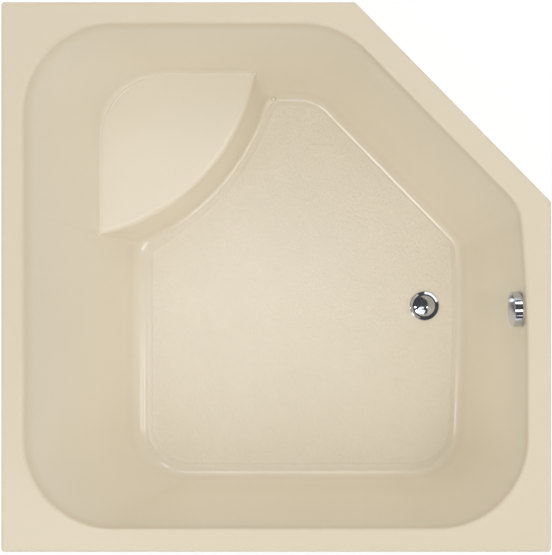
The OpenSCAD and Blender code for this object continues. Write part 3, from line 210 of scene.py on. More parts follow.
def round_loop(low_bow, bow, dr, td, tl, bl, br, t1, t2):
    """Rim-side loop: its corners joined by straight stations, with the seat's two ends at t1 and t2."""
    return (line(br[-1], low_bow, 1) + bow + line(bow[-1], dr[0], 1) + dr + line(dr[-1], td[0], 2) + td
            + line(td[-1], t1 + ALONG_X, 1) + [t1 + ALONG_X * (1 - u / N_TIP) for u in steps(2 * N_TIP)]
            + line(t1 - ALONG_X, tl[0], N_SIDE - 1) + tl + line(tl[-1], t2 + ALONG_Y, N_SIDE - 1)
            + [t2 + ALONG_Y * (1 - u / N_TIP) for u in steps(2 * N_TIP)]
            + line(t2 - ALONG_Y, bl[0], 3) + bl + line(bl[-1], br[0], 3) + br)


rim = round_loop(rim_bow[0], rim_bow, rim_dr, rim_td, rim_tl, rim_bl, rim_br, rim_t1, rim_t2)


# Length over which the straight stations beside each tight outer corner are spread
SPREAD = dict(dr=30, td=90, tl=200, bl=200, br=330)


def outer_loop(e, r):
    """The deck's outer edge, e millimetres in, with corners rounded by r."""
    d, c = HALF - e, CUT_D - e
    bow = [vec(d, p[1]) for p in rim_bow]
    return round_loop(
        bow[0], bow, tight(0, d, CUT_A, c, r, N_DR, SPREAD["dr"]),
        tight(CUT_A, c, BACK_A, d, r, N_TD, SPREAD["td"]),
        tight(BACK_A, d, LEFT_A, d, r, N_TL, SPREAD["tl"]),
        tight(LEFT_A, d, FRONT_A, d, r, N_BL, SPREAD["bl"]),
        tight(FRONT_A, d, FULL_A, d, r, N_BR, SPREAD["br"]), vec(rim_t1[0], d), vec(-d, rim_t2[1]))


edge_out = outer_loop(0, OUTLINE_R)
edge_in = outer_loop(EDGE_R, OUTLINE_R - EDGE_R)
under_tl = corner(BACK_A, FOOT_D[2], LEFT_A, FOOT_D[3], SEAT_CORNER_R, N_TL)
under = ([under_t1 - ALONG_X * u / N_TIP for u in steps(N_TIP)]
         + line(under_t1 - ALONG_X, under_tl[0], N_SIDE - 1) + under_tl
         + line(under_tl[-1], under_t2 + ALONG_Y, N_SIDE - 1)
         + [under_t2 + ALONG_Y * (1 - u / N_TIP) for u in steps(N_TIP)])
TIP_A = math.radians(1.9)
ea1 = math.atan2(tip1[1] - sy, tip1[0] - sx)
ea2 = math.atan2(tip2[1] - sy, tip2[0] - sx)
seat_front = ([polar(seat_arc_c, sr, ea1 - TIP_A * u / N_TIP) for u in steps(N_TIP)]
              + [polar(seat_arc_c, sr, mix(ea1 - TIP_A, ea2 + TIP_A, i / (N_ARC * SPLIT)))
                 for i in range(1, N_ARC * SPLIT)]
              + [polar(seat_arc_c, sr, ea2 + TIP_A * (1 - u / N_TIP)) for u in steps(N_TIP)])


def ramp(x, a, b):
    return min(1.0, max(0.0, (x - a) / (b - a)))


def by_wall(i, right, cut, back, left, front):
    """A value that changes from wall to wall, by the rim's direction at station i."""
    d = rim[(i + SPLIT) % N] - rim[(i - SPLIT) % N]
    a = (math.atan2(-d[0], d[1]) + FULL_A + START_A) % FULL_A - START_A
    if a < CUT_A:
        return mix(right, cut, ramp(a, BOW_A, CUT_A))
    if a < BACK_A:
        return mix(cut, back, ramp(a, CUT_A, BACK_A))
    if a < LEFT_A:
        return mix(back, left, ramp(a, BACK_A, LEFT_A))
    if a < FRONT_A:
        return mix(left, front, ramp(a, LEFT_A, FRONT_A))
    return mix(front, right, ramp(a, FRONT_A, TURNED_A))


def smooth_loop(values, reach):
    """Round trip of values smoothed over reach stations each way."""
    v = np.array(values)
    w = np.hanning(2 * reach + 3)[1:-1]
    return np.convolve(np.concatenate([v[-reach:], v, v[:reach]]), w / w.sum(), "valid")


sweep = smooth_loop([by_wall(i, SWEEP["right"], SWEEP["cut"], SWEEP["left"], SWEEP["left"], SWEEP["front"])
                     for i in range(N)], SPLIT)


def cove_at(i):
    s = i / SPLIT
    if I_TIP1 - N_TIP < s < I_TIP2 + N_TIP:
        wall = COVE["cut"] if s < (I_TIP1 + I_TIP2) / 2 else COVE["left"]
        return mix(wall, COVE["seat"], ramp(min(s - I_TIP1, I_TIP2 - s), -N_TIP, N_TIP + 2))
    return by_wall(i, COVE["right"], COVE["cut"], COVE["cut"], COVE["left"], COVE["front"])


cove = smooth_loop([cove_at(i) for i in range(N)], SPLIT)
# Flat strip between the cove and the low step, along the seat only
STRIP = 7.0
strip = smooth_loop([STRIP if I_TIP1 < i / SPLIT < I_TIP2 else 0.0 for i in range(N)], SPLIT)
# Height of the low step into the grip field, side by side
STEP = dict(right=1.0, cut=0.35, back=0.6, left=1.3, front=0.9, seat=0.7)
step_h = smooth_loop([STEP["seat"] if I_TIP1 < i / SPLIT < I_TIP2 else
                      by_wall(i, STEP["right"], STEP["cut"], STEP["back"], STEP["left"], STEP["front"])
                      for i in range(N)], SPLIT)


def floor_z(p):
    return ZF + FALL * (DRAIN[0] - p[0]) / (DRAIN[0] + FOOT_D[3])


def at_z(p, z):
    return vec(p[0], p[1], z)


def on_floor(p):
    return at_z(p, floor_z(p))


def wall_foot(i):
    """Foot that the wall above seat level aims at: the pockets at the seat's ends lie only below it."""
    k = i / SPLIT
    if I_TIP1 - N_TIP <= k <= I_TIP1:
        return vec(foot[i][0], FOOT_D[2])
    if I_TIP2 <= k <= I_TIP2 + N_TIP:
        return vec(-FOOT_D[3], foot[i][1])
    return foot[i]


def wall_p(i, t):
    """Point and direction of the wall's curve at station i, t from the rim to the foot."""
    a, b, s, u = rim[i], wall_foot(i), sweep[i], ramp(t, SEAT_FRAC, 1)
    low = floor_z(foot[i])
    p = mix(a, b, 2 * t * (1 - t) * s + t * t) + (foot[i] - b) * u * u * (3 - 2 * u)
    d = (b - a) * (2 * s * (1 - 2 * t) + 2 * t) + (foot[i] - b) * 6 * u * (1 - u) / (1 - SEAT_FRAC)
    return at_z(p, mix(TUB_H, low, t)), unit(at_z(d, low - TUB_H))


def blend(a, k, b, n):
    return [(mix(mix(a, k, t), mix(k, b, t), t), unit(mix(k - a, b - k, t)))
            for t in (i / n for i in range(n + 1))]


# Numbers of rows: lip, deck's outer edge, deck, rim's roll, lead, seat level's parts and cove
SIDE_ROWS, EDGE_PARTS, DECK_ROWS, ROLL_PARTS = 3, 6, 3, 10
LEAD_ROWS, BACK_PARTS, MID_PARTS, COVE_PARTS = 2, 3, 7, 9
# Distances of the middle rows from the seat's level
NEAR = [-14, -9, -4, -1, 1, 5, 10, 15]
# Share of the seat's depth that its cove and its edge take at most
SEAT_SHARE = 0.4
RIDGE_IN = 2.2
WALL_T0, WALL_DT = 0.05, 0.108
# Distance of a guard row from the edge that it keeps sharp, on the lip and on the deck
SIDE_IN, DECK_IN = 1.5, 2.0
# Low ridge where the cove meets the floor's grip field: distance in and share of its height, row by row
LEAD_H = 0.6
BEAD = [(0.2, LEAD_H), (1.3, 0.95), (2.2, 1.0), (3.2, 0.75), (4.4, 0.2), (5.6, 0.0), (14.0, 0.0)]
FLOOR_ROWS = len(BEAD)


def row_t(k, off):
    """Place along the wall of middle row k, gathered about the seat's level near the seat."""
    lo = min(int(k), len(NEAR) - 2)
    near = mix(NEAR[lo], NEAR[lo + 1], k - lo)
    return mix((SEAT + near) / BASIN, WALL_T0 + WALL_DT * (k + 1), off)


def profile(i):
    """Points with directions from the lip over the deck and down to the floor at station i."""
    o, oi, r = at_z(edge_out[i], TUB_H), at_z(edge_in[i], TUB_H), at_z(rim[i], TUB_H)
    f, s = on_floor(foot[i]), i / SPLIT
    d = foot[(i + 1) % N] - foot[(i - 1) % N]
    inward = -unit(vec(d[1], -d[0]))
    fl = on_floor(foot[i] + inward * cove[i]) + vec(0, 0, LEAD_H * step_h[i])
    out = unit(rim[i] - foot[i])
    up = vec(0, 0, 1)
    deck_p = r + ROLL * at_z(out, 0)
    seat = I_TIP1 < s < I_TIP2
    mids = [k / ROW_SPLIT for k in range(MID_PARTS * ROW_SPLIT + 1)]
    if seat:
        j = i - I_TIP1 * SPLIT
        k2 = at_z(mix(rim[i], under[j], SEAT_FRAC), ZS)
        k3 = at_z(seat_front[j], ZS)
        across, d23 = unit(k3 - k2), np.linalg.norm(k3 - k2)
        up_dir, down = unit(k2 - r), unit(f - k3)
        roll_end = r + up_dir * ROLL
        c2, c3 = min(SEAT_COVE, d23 * SEAT_SHARE), min(SEAT_EDGE, d23 * SEAT_SHARE)
        back = blend(k2 - up_dir * SEAT_COVE, k2, k2 + across * c2, BACK_PARTS * ROW_SPLIT)
        edge = blend(k3 - across * c3, k3, k3 + down * SEAT_EDGE, BACK_PARTS * ROW_SPLIT)
        flat = [(back[-1][0] + across * RIDGE_IN, across), (mix(back[-1][0], edge[0][0], 0.5), across)]
        mid = back + flat + edge
        cove_top, low_dir = f - down * cove[i], down
    else:
        roll_end = wall_p(i, ROLL / BASIN)[0]
        off = min(abs(s - I_TIP1), abs(s - I_TIP2), N_TIP + 1) / (N_TIP + 1)
        mid = [wall_p(i, row_t(k, off)) for k in mids]
        cove_top, low_dir = wall_p(i, 1 - cove[i] / BASIN)
    roll = blend(deck_p, r, roll_end, ROLL_PARTS)
    lead = [(mix(roll[-1][0], mid[0][0], t) if seat else wall_p(i, mix(ROLL / BASIN, row_t(0, off), t))[0],
             mid[0][1]) for t in (1 / 3, 2 / 3)]
    gap = [(mix(mid[-1][0], cove_top, t) if seat
            else wall_p(i, mix(row_t(MID_PARTS, off), 1 - cove[i] / BASIN, t))[0], low_dir) for t in (0.5,)]
    edge_roll = blend(o - up * EDGE_R, o, oi, EDGE_PARTS)
    side = [(o - up * LIP_H, up), (o - up * (LIP_H - SIDE_IN), up), (o - up * (EDGE_R + SIDE_IN), up)]
    width = unit(deck_p - oi)
    deck = [(oi + width * DECK_IN, width), (mix(oi, deck_p, 0.5), width), (deck_p - width * DECK_IN, width)]
    cove_rows = blend(cove_top, f, fl, COVE_PARTS)
    level = vec(*inward, 0)
    floor = [(on_floor((fl + level * (e + strip[i]))[:2]) + up * h * step_h[i], level) for e, h in BEAD]
    return side + edge_roll + deck + roll + lead + mid + gap + cove_rows + floor


grid = [profile(i) for i in range(N)]
ROWS = len(grid[0])
P = np.array([[p for p, _ in row] for row in grid])
D = np.array([[d for _, d in row] for row in grid])
around = np.roll(P, -1, axis=0) - np.roll(P, 1, axis=0)
NRM = np.cross(around, D)
NRM /= np.linalg.norm(NRM, axis=2, keepdims=True)


def is_flat(i, j):
    s = i / SPLIT
    if DECK_FLAT[0] <= j <= DECK_FLAT[1] or j >= ROWS - 1 - FLOOR_ROWS:
        return True
    return I_TIP1 < s < I_TIP2 and SEAT_FLAT[0] <= j <= SEAT_FLAT[1]


# Rows of the flat deck and of the flat seat, and the first row of the backing
BACKING_ROW = SIDE_ROWS + EDGE_PARTS
DECK_FLAT = (BACKING_ROW, BACKING_ROW + DECK_ROWS + 1)
MID_ROW = DECK_FLAT[1] + ROLL_PARTS + 1 + LEAD_ROWS
SEAT_FLAT = (MID_ROW + BACK_PARTS * ROW_SPLIT, MID_ROW + (BACK_PARTS + 1) * ROW_SPLIT)
UNDER_Z = ZF - SHELL_T - BACKING_T
FLAT = np.array([[is_flat(i, j) for j in range(ROWS)] for i in range(N)])


def offset(curved, flat):
    return P - np.where(FLAT[..., None], vec(0, 0, flat), NRM * curved)


def new_object(name, verts, faces):
    mesh = bpy.data.meshes.new(name)
    mesh.from_pydata([tuple(v) for v in verts], [], faces)
    mesh.update()
    ob = bpy.data.objects.new(name, mesh)
    bpy.context.scene.collection.objects.link(ob)
    return ob


def skin(name, j0, top, low):
    """Closed skin between two offsets of the grid, from row j0 to the floor."""
    rows = ROWS - j0
    m = N * rows
    verts = np.concatenate([top[:, j0:].reshape(-1, 3), low[:, j0:].reshape(-1, 3)]) * MM

    def vid(i, j):
        return (i % N) * rows + j

    faces = []
    for i in range(N):
        for j in range(rows - 1):
            quad = [vid(i, j), vid(i + 1, j), vid(i + 1, j + 1), vid(i, j + 1)]
            faces.append(quad)
            faces.append([m + v for v in reversed(quad)])
        faces.append([vid(i, 0), m + vid(i, 0), m + vid(i + 1, 0), vid(i + 1, 0)])
    faces.append([vid(i, rows - 1) for i in range(N)])
    faces.append([m + vid(N - 1 - i, rows - 1) for i in range(N)])
    return new_object(name, verts, faces)


def rod(r0, r1, z0, z1, matrix, name="cutter", segments=128):
    """Cone or cylinder between two heights of a local frame, in millimetres."""
    a = [2 * math.pi * k / segments for k in range(segments)]
    verts = [matrix @ Vector((r * math.cos(t) * MM, r * math.sin(t) * MM, z * MM))
             for r, z in ((r0, z0), (r1, z1)) for t in a]
    side = [[k, (k + 1) % segments, segments + (k + 1) % segments, segments + k] for k in range(segments)]
    ends = [list(range(segments - 1, -1, -1)), list(range(segments, 2 * segments))]
    return new_object(name, verts, side + ends)


def boolean(ob, *steps_):
    """Applies a row of exact booleans to ob and removes the cutters."""
    for operation, cutter in steps_:
        mod = ob.modifiers.new("cut", "BOOLEAN")
        mod.operation, mod.object, mod.solver = operation, cutter, "EXACT"
    dg = bpy.context.evaluated_depsgraph_get()
    mesh = bpy.data.meshes.new_from_object(ob.evaluated_get(dg))
    ob.modifiers.clear()
    ob.data = mesh
    for _, cutter in steps_:
        bpy.data.objects.remove(cutter)
    return ob


def shade(ob, degrees=32):
    ob.data.shade_smooth()
    ob.data.set_sharp_from_angle(angle=math.radians(degrees))
    even = ob.modifiers.new("even_normals", "WEIGHTED_NORMAL")
    even.keep_sharp = True
    return ob


# The overflow's local frame, z out to the bather, from the knob's joint
knob_joint = next(j for j in frame["joints"] if j["name"] == "knob_turn")
ov, inward_axis = Vector(knob_joint["pos_m"]), -Vector(knob_joint["axis"]).normalized()
side_axis = Vector((0, 0, 1)).cross(inward_axis).normalized()
up_axis = side_axis.cross(inward_axis) * -1
ov_axes = Matrix((up_axis, inward_axis.cross(up_axis), inward_axis)).transposed()
AT_OV = Matrix.Translation(ov) @ ov_axes.to_4x4()
AT_DRAIN = Matrix.Translation((DRAIN[0] * MM, DRAIN[1] * MM, 0))
FLOOR_TOP = ZF - RECESS_H

# Low ridges along the back of the seat, where its cove starts and where it ends
COVE_END = BACK_PARTS * ROW_SPLIT
RIDGES = {1: 0.9, 2: 1.4, 3: 0.7, COVE_END - 1: 0.5, COVE_END: 1.4, COVE_END + 1: 0.0}
TOP = P.copy()
for i in range(N):
    reach = ramp(min(i / SPLIT - I_TIP1, I_TIP2 - i / SPLIT), 0, 1)
    for row, height in RIDGES.items():
        TOP[i, MID_ROW + row] += NRM[i, MID_ROW + row] * height * reach
shell = skin("tub_shell_fine", 0, TOP, offset(SHELL_T, SHELL_T))

# Flat land round the overflow, the dished recess round the drain and the two holes
LAND_DEPTH, RECESS_OUT, RECESS_FLARE, RECESS_UP = 6, 5, 16, 8
SHELL_REACH, BACKING_REACH = 30, 40
land = rod(LAND_R, LAND_R, -LAND_DEPTH, 0, AT_OV, "land")
recess_r = FLANGE_R + RECESS_OUT
recess = rod(recess_r, recess_r + RECESS_FLARE, FLOOR_TOP, FLOOR_TOP + RECESS_UP, AT_DRAIN)
boolean(shell, ("UNION", land), ("DIFFERENCE", recess),
        ("DIFFERENCE", rod(HOLE_R, HOLE_R, ZF - SHELL_REACH, ZF + SHELL_REACH, AT_DRAIN)),
        ("DIFFERENCE", rod(OVERFLOW_R, OVERFLOW_R, -SHELL_REACH, SHELL_REACH, AT_OV)))
# Small nubs that the mould leaves at the seat's two tips and at the ends of its face
NUB_R, PIT_1, PIT_2 = 6.0, (-6.0, 443.0, ZF + 12), (-345.0, 68.0, ZF + 9)
mesh = bmesh.new()
mesh.from_mesh(shell.data)
for place in (at_z(tip1, ZS), at_z(tip2, ZS), PIT_1, PIT_2):
    bmesh.ops.create_icosphere(mesh, subdivisions=3, radius=NUB_R * MM,
                               matrix=Matrix.Translation(Vector(place) * MM))
mesh.to_mesh(shell.data)
mesh.free()
shade(shell)
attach(shell, "tub")
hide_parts("tub_shell")

backing_low = offset(SHELL_T + SKIN_GAP + BACKING_T, SHELL_T + BACKING_T)
backing_low[:, ROWS - 1 - FLOOR_ROWS:, 2] = UNDER_Z
backing = skin("glass_fibre_backing_fine", BACKING_ROW, offset(SHELL_T + SKIN_GAP, SHELL_T), backing_low)
boolean(backing, ("DIFFERENCE", rod(HOLE_R, HOLE_R, ZF - BACKING_REACH, ZF + BACKING_REACH, AT_DRAIN)),
        ("DIFFERENCE", rod(OVERFLOW_R, OVERFLOW_R, -BACKING_REACH, BACKING_REACH, AT_OV)))
shade(backing)
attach(backing, "tub")
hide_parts("glass_fibre_backing")


# Heights between which the acrylic's look changes: below the rim, where the colour is painted lighter to
# offset the basin's shade, over the coves and up the walls
RIM_BAND = (TUB_H - 40) * MM, (TUB_H - 2) * MM
COVE_BAND = (ZF + 30) * MM, (ZF + 60) * MM
WALL_BAND = (ZF + 40) * MM, (ZF + 210) * MM
# Upward share of the normal at which a surface stops being a wall
WALL_FACING = 0.75, 0.95


# Materials
def srgb(r, g, b):
    def one(c):
        c /= 255
        return c / 12.92 if c <= 0.04045 else ((c + 0.055) / 1.055) ** 2.4
    return one(r), one(g), one(b), 1.0


class Look:
    """A material with short ways to add and join its nodes."""

    def __init__(self, name, rough=0.5, metallic=0.0, **sockets):
        self.mat = bpy.data.materials.new(name)
        self.mat.use_nodes = True
        self.tree = self.mat.node_tree
        self.bsdf = self.tree.nodes["Principled BSDF"]
        self.set("Roughness", rough)
        self.set("Metallic", metallic)
        for k, v in sockets.items():
            self.set(k.replace("_", " "), v)

    def set(self, socket, value):
        self.bsdf.inputs[socket].default_value = value

    def node(self, kind, inputs=None, **settings):
        n = self.tree.nodes.new("ShaderNode" + kind)
        for k, v in settings.items():
            setattr(n, k, v)
        for k, v in (inputs or {}).items():
            if isinstance(v, bpy.types.NodeSocket):
                self.tree.links.new(v, n.inputs[k])
            else:
                n.inputs[k].default_value = v
        return n

    def math(self, op, a, b=0.0, clamp=False):
        return self.node("Math", {0: a, 1: b}, operation=op, use_clamp=clamp).outputs[0]

    def ramp(self, value, lo, hi, to_lo=0.0, to_hi=1.0, kind="LINEAR"):
        return self.node("MapRange", {"Value": value, "From Min": lo, "From Max": hi, "To Min": to_lo,
                                      "To Max": to_hi}, clamp=True, interpolation_type=kind).outputs[0]

    def coords(self, scale=(1, 1, 1)):
        p = self.node("TexCoord").outputs["Object"]
        return self.node("Mapping", {"Vector": p, "Scale": scale}).outputs[0]

    def noise(self, scale, detail=2.0, rough=0.5, vector=None, distortion=0.0):
        v = vector if vector is not None else self.coords()
        return self.node("TexNoise", {"Vector": v, "Scale": scale, "Detail": detail, "Roughness": rough,
                                      "Distortion": distortion}).outputs["Fac"]

    def mix(self, fac, a, b):
        return self.node("MixRGB", {"Fac": fac, "Color1": a, "Color2": b}).outputs[0]

    def colour(self, value):
        self.tree.links.new(value, self.bsdf.inputs["Base Color"])

    def rough(self, value):
        self.tree.links.new(value, self.bsdf.inputs["Roughness"])

    def bump(self, height, distance, strength=1.0):
        n = self.node("Bump", {"Height": height, "Distance": distance, "Strength": strength})
        self.tree.links.new(n.outputs[0], self.bsdf.inputs["Normal"])

    def on(self, *obs):
        for ob in obs:
            ob.data.materials.clear()
            ob.data.materials.append(self.mat)


def acrylic():
    look = Look("acrylic_biscuit", 0.12, IOR=1.49)
    x, _, z = look.node("SeparateXYZ", {0: look.node("TexCoord").outputs["Object"]}).outputs
    # Painted light: below the rim band the basin is painted lighter and less yellow than the deck, to offset
    # the shade that falls inside it; the slow noise between the two tones is the sheet's own uneven tone
    basin_painted_lighter = look.ramp(z, *RIM_BAND, 1.0, 0.0)
    base = look.mix(basin_painted_lighter, srgb(229, 217, 193), srgb(239, 230, 211))
    deep = look.mix(basin_painted_lighter, srgb(228, 216, 192), srgb(237, 228, 208))
    look.colour(look.mix(look.ramp(look.noise(2.2, 3.0), 0.35, 0.65), base, deep))
    # Height above the floor's plane, which falls towards the drain
    slope = FALL / (DRAIN[0] + FOOT_D[3])
    plane = look.math("ADD", look.math("MULTIPLY", x, -slope), (ZF + slope * DRAIN[0]) * MM)
    above = look.math("SUBTRACT", z, plane)
    grip = look.ramp(above, 0.0002, 0.0012, 1.0, 0.0)
    p = look.coords()
    pebble = look.node("TexVoronoi", {"Vector": p, "Scale": 170.0, "Randomness": 1.0},
                       feature="SMOOTH_F1").outputs[0]
    grain = look.math("ADD", look.math("MULTIPLY", pebble, 0.6), look.noise(230.0, 2.0, 0.6, p))
    orange_peel = look.math("MULTIPLY", look.noise(55.0, 1.0, 0.5, p), 0.018)
    look.bump(look.math("ADD", look.math("MULTIPLY", grain, grip), orange_peel), 0.002)
    # Steep walls are duller, so they mirror less of the floor and the drain
    facing = look.node("SeparateXYZ", {0: look.node("NewGeometry").outputs["Normal"]}).outputs[2]
    steep = look.math("MULTIPLY", look.ramp(facing, *WALL_FACING, 1.0, 0.0),
                      look.ramp(z, *WALL_BAND, kind="SMOOTHSTEP"))
    look.rough(look.math("ADD", look.ramp(grip, 0.0, 1.0, 0.13, 0.3), look.math("MULTIPLY", steep, 0.12)))
    low = look.ramp(z, *COVE_BAND, 0.8, 0.4)
    sheen = look.math("MULTIPLY", low, look.ramp(z, *RIM_BAND, 1.0, 0.6))
    sheen = look.math("MULTIPLY", sheen, look.ramp(steep, 0.0, 1.0, 1.0, 0.4))
    look.tree.links.new(sheen, look.bsdf.inputs["Specular IOR Level"])
    return look


def glass_fibre():
    look = Look("glass_fibre_resin", 0.45)
    p = look.coords()
    strands = look.node("TexVoronoi", {"Vector": look.coords((1, 1, 0.35)), "Scale": 160.0},
                        feature="DISTANCE_TO_EDGE").outputs[0]
    lines = look.ramp(strands, 0.0, 0.12, 1.0, 0.0)
    patches = look.ramp(look.noise(9.0, 4.0, 0.6, p), 0.3, 0.7)
    base = look.mix(patches, srgb(203, 192, 160), srgb(186, 171, 134))
    look.colour(look.mix(look.math("MULTIPLY", lines, 0.35), base, srgb(222, 215, 190)))
    look.rough(look.ramp(look.noise(30.0, 3.0, 0.6, p), 0.3, 0.7, 0.32, 0.6))
    look.bump(look.math("ADD", look.math("MULTIPLY", lines, 0.5), look.noise(70.0, 5.0, 0.6, p)), 0.0012)
    return look


def wood(name, along, light, dark):
    """Softwood or board with its grain along one axis."""
    look = Look(name, 0.6)
    squash = [14.0, 14.0, 14.0]
    squash["xyz".index(along)] = 0.9
    p = look.coords(tuple(squash))
    rings = look.node("TexWave", {"Vector": p, "Scale": 1.6, "Distortion": 7.0, "Detail": 3.0,
                                  "Detail Scale": 1.2}, wave_type="RINGS",
                      rings_direction=along.upper()).outputs["Fac"]
    fibre = look.noise(26.0, 6.0, 0.65, p)
    grain = look.math("ADD", look.math("MULTIPLY", rings, 0.6), look.math("MULTIPLY", fibre, 0.4))
    tone = look.mix(look.ramp(grain, 0.25, 0.8), light, dark)
    stain = look.ramp(look.noise(3.0, 3.0), 0.35, 0.7, 0.0, 0.35)
    look.colour(look.mix(stain, tone, dark))
    look.rough(look.ramp(fibre, 0.3, 0.7, 0.5, 0.75))
    look.bump(grain, 0.0004)
    return look


def plywood():
    look = Look("plywood_sheet", 0.62)
    p = look.coords((1.0, 16.0, 60.0))
    grain = look.noise(7.0, 6.0, 0.6, p)
    plies = look.node("TexWave", {"Vector": look.coords(), "Scale": 130.0, "Distortion": 0.4},
                      wave_type="BANDS", bands_direction="Z").outputs["Fac"]
    tone = look.mix(look.ramp(grain, 0.3, 0.7), srgb(206, 171, 121), srgb(176, 136, 88))
    look.colour(look.mix(look.math("MULTIPLY", look.ramp(plies, 0.35, 0.65), 0.3), tone, srgb(140, 101, 62)))
    look.rough(look.ramp(grain, 0.3, 0.7, 0.55, 0.75))
    look.bump(grain, 0.0003)
    return look


def chrome():
    look = Look("polished_chrome", 0.06, 0.91)
    smear = look.noise(35.0, 3.0, 0.6)
    look.colour(look.mix(look.ramp(smear, 0.3, 0.7), srgb(205, 210, 221), srgb(195, 200, 211)))
    look.rough(look.ramp(look.noise(140.0, 3.0, 0.6), 0.35, 0.7, 0.04, 0.1))
    look.bump(look.noise(900.0, 2.0), 0.00001)
    return look


def steel():
    look = Look("zinc_steel", 0.35, 1.0)
    p = look.coords((1.0, 1.0, 12.0))
    cloud = look.ramp(look.noise(60.0, 4.0, 0.6), 0.3, 0.7)
    look.colour(look.mix(cloud, srgb(196, 197, 199), srgb(168, 170, 173)))
    look.rough(look.ramp(look.noise(240.0, 3.0, 0.6, p), 0.3, 0.7, 0.25, 0.45))
    look.bump(look.noise(420.0, 3.0, 0.6, p), 0.00004)
    return look


def brass():
    look = Look("turned_brass", 0.28, 1.0)
    cloud = look.ramp(look.noise(90.0, 4.0, 0.6), 0.3, 0.7)
    look.colour(look.mix(cloud, srgb(214, 180, 108), srgb(183, 146, 80)))
    look.rough(look.ramp(look.noise(300.0, 3.0, 0.6), 0.3, 0.7, 0.2, 0.38))
    look.bump(look.noise(600.0, 2.0), 0.00003)
    return look


def moulded(name, tone, worn, rough, scale=1.0):
    """Moulded plastic or rubber with a fine grain and slight wear."""
    look = Look(name, rough)
    look.colour(look.mix(look.ramp(look.noise(24.0 * scale, 4.0, 0.6), 0.4, 0.75), tone, worn))
    look.rough(look.ramp(look.noise(80.0 * scale, 4.0, 0.6), 0.3, 0.7, rough - 0.08, rough + 0.1))
    look.bump(look.noise(700.0 * scale, 3.0, 0.6), 0.00008)
    return look


acrylic().on(shell)
glass_fibre().on(backing)
chrome().on(*(nodes[n] for n in ("drain_flange", "stopper_cap", "overflow_plate", "overflow_knob")))
steel().on(*(nodes[n] for n in ("lift_lever", "lever_crank", "crank_clip", "cable_fork", "cable_yoke",
                                 "plate_screws", "knob_screw")))
brass().on(*(nodes[n] for n in ("stopper_stem", "lever_spindle", "knob_spindle")))
moulded("black_pipe", srgb(44, 44, 46), srgb(58, 58, 60), 0.36).on(
    *(nodes[n] for n in ("drain_shoe", "drain_tube", "waste_fitting", "outlet_tube", "overflow_tube",
                         "overflow_body", "slip_nuts")))
moulded("black_rubber", srgb(34, 34, 35), srgb(48, 47, 46), 0.65).on(
    *(nodes[n] for n in ("flange_seal", "shoe_gasket", "stopper_seal", "overflow_gasket", "slip_washers")))
moulded("cable_sheath", srgb(30, 30, 31), srgb(44, 44, 45), 0.5, 3.0).on(nodes["control_cable"])
PINE = srgb(214, 176, 122), srgb(176, 128, 76)
wood("pine_along_x", "x", *PINE).on(nodes["rim_board_back"], nodes["rim_board_front"], nodes["base_rails"])
wood("pine_along_y", "y", *PINE).on(nodes["rim_board_left"], nodes["rim_board_right"], nodes["rim_board_cut"])
wood("pine_along_z", "z", *PINE).on(nodes["seat_posts"])
plywood().on(nodes["base_panel"], nodes["seat_board"])

# Floor, light and camera
scene = bpy.context.scene
scene.view_settings.view_transform = "Standard"
# Half widths and heights in metres of the floor, just under the feet, and of the dark ceiling
FLOOR_HALF, FLOOR_Z, CEILING_HALF, CEILING_Z = 30, -0.0005, 9, 5
floor = new_object("floor", [(x * FLOOR_HALF, y * FLOOR_HALF, FLOOR_Z)
                             for x, y in ((-1, -1), (1, -1), (1, 1), (-1, 1))], [[0, 1, 2, 3]])
paper = Look("pale_floor", 0.9)
paper.set("Base Color", (0.94, 0.94, 0.94, 1.0))
out = paper.tree.nodes["Material Output"]
path = paper.node("LightPath").outputs
seen = paper.math("MAXIMUM", path["Is Camera Ray"], path["Is Glossy Ray"])
# Strength of the white that the camera and mirrors see, and its share, which leaves room for the shadow
GLOW, GLOW_SHARE = 1.06, 0.85
glow = paper.node("Emission", {"Color": (1, 1, 1, 1), "Strength": GLOW})
share = paper.math("MULTIPLY", seen, GLOW_SHARE)
both = paper.node("MixShader", {0: share, 1: paper.bsdf.outputs[0], 2: glow.outputs[0]})
paper.tree.links.new(both.outputs[0], out.inputs[0])
paper.on(floor)

world = bpy.data.worlds.new("studio")
scene.world = world
world.use_nodes = True
wt = world.node_tree
bg = wt.nodes["Background"]
bg.inputs["Color"].default_value = (1.0, 1.0, 1.0, 1.0)
# Strength of the sky's fill light, from just below the horizon to the zenith
HORIZON, ZENITH, FILL_LOW, FILL_HIGH = -0.1, 1.0, 0.34, 0.38
geo = wt.nodes.new("ShaderNodeTexCoord")
sep = wt.nodes.new("ShaderNodeSeparateXYZ")
wt.links.new(geo.outputs["Generated"], sep.inputs[0])
rng = wt.nodes.new("ShaderNodeMapRange")
for k, v in (("From Min", HORIZON), ("From Max", ZENITH), ("To Min", FILL_LOW), ("To Max", FILL_HIGH)):
    rng.inputs[k].default_value = v
wt.links.new(sep.outputs[2], rng.inputs["Value"])
lp = wt.nodes.new("ShaderNodeLightPath")
pick = wt.nodes.new("ShaderNodeMix")
pick.data_type = "FLOAT"
seen_there = wt.nodes.new("ShaderNodeMath")
seen_there.operation = "MAXIMUM"
wt.links.new(lp.outputs["Is Camera Ray"], seen_there.inputs[0])
wt.links.new(lp.outputs["Is Glossy Ray"], seen_there.inputs[1])
wt.links.new(seen_there.outputs[0], pick.inputs[0])
wt.links.new(rng.outputs[0], pick.inputs[2])
pick.inputs[3].default_value = 1.0
wt.links.new(pick.outputs[0], bg.inputs["Strength"])


def lamp(name, place, target, size, power, glossy=False):
    """Soft box of size width and length, aimed at target."""
    data = bpy.data.lights.new(name, "AREA")
    data.shape, data.size, data.size_y, data.energy = "RECTANGLE", size[0], size[1], power
    ob = bpy.data.objects.new(name, data)
    scene.collection.objects.link(ob)
    ob.location = place
    ob.rotation_mode = "QUATERNION"
    ob.rotation_quaternion = (Vector(target) - Vector(place)).to_track_quat("-Z", "Y")
    ob.visible_camera = False
    ob.visible_glossy = glossy


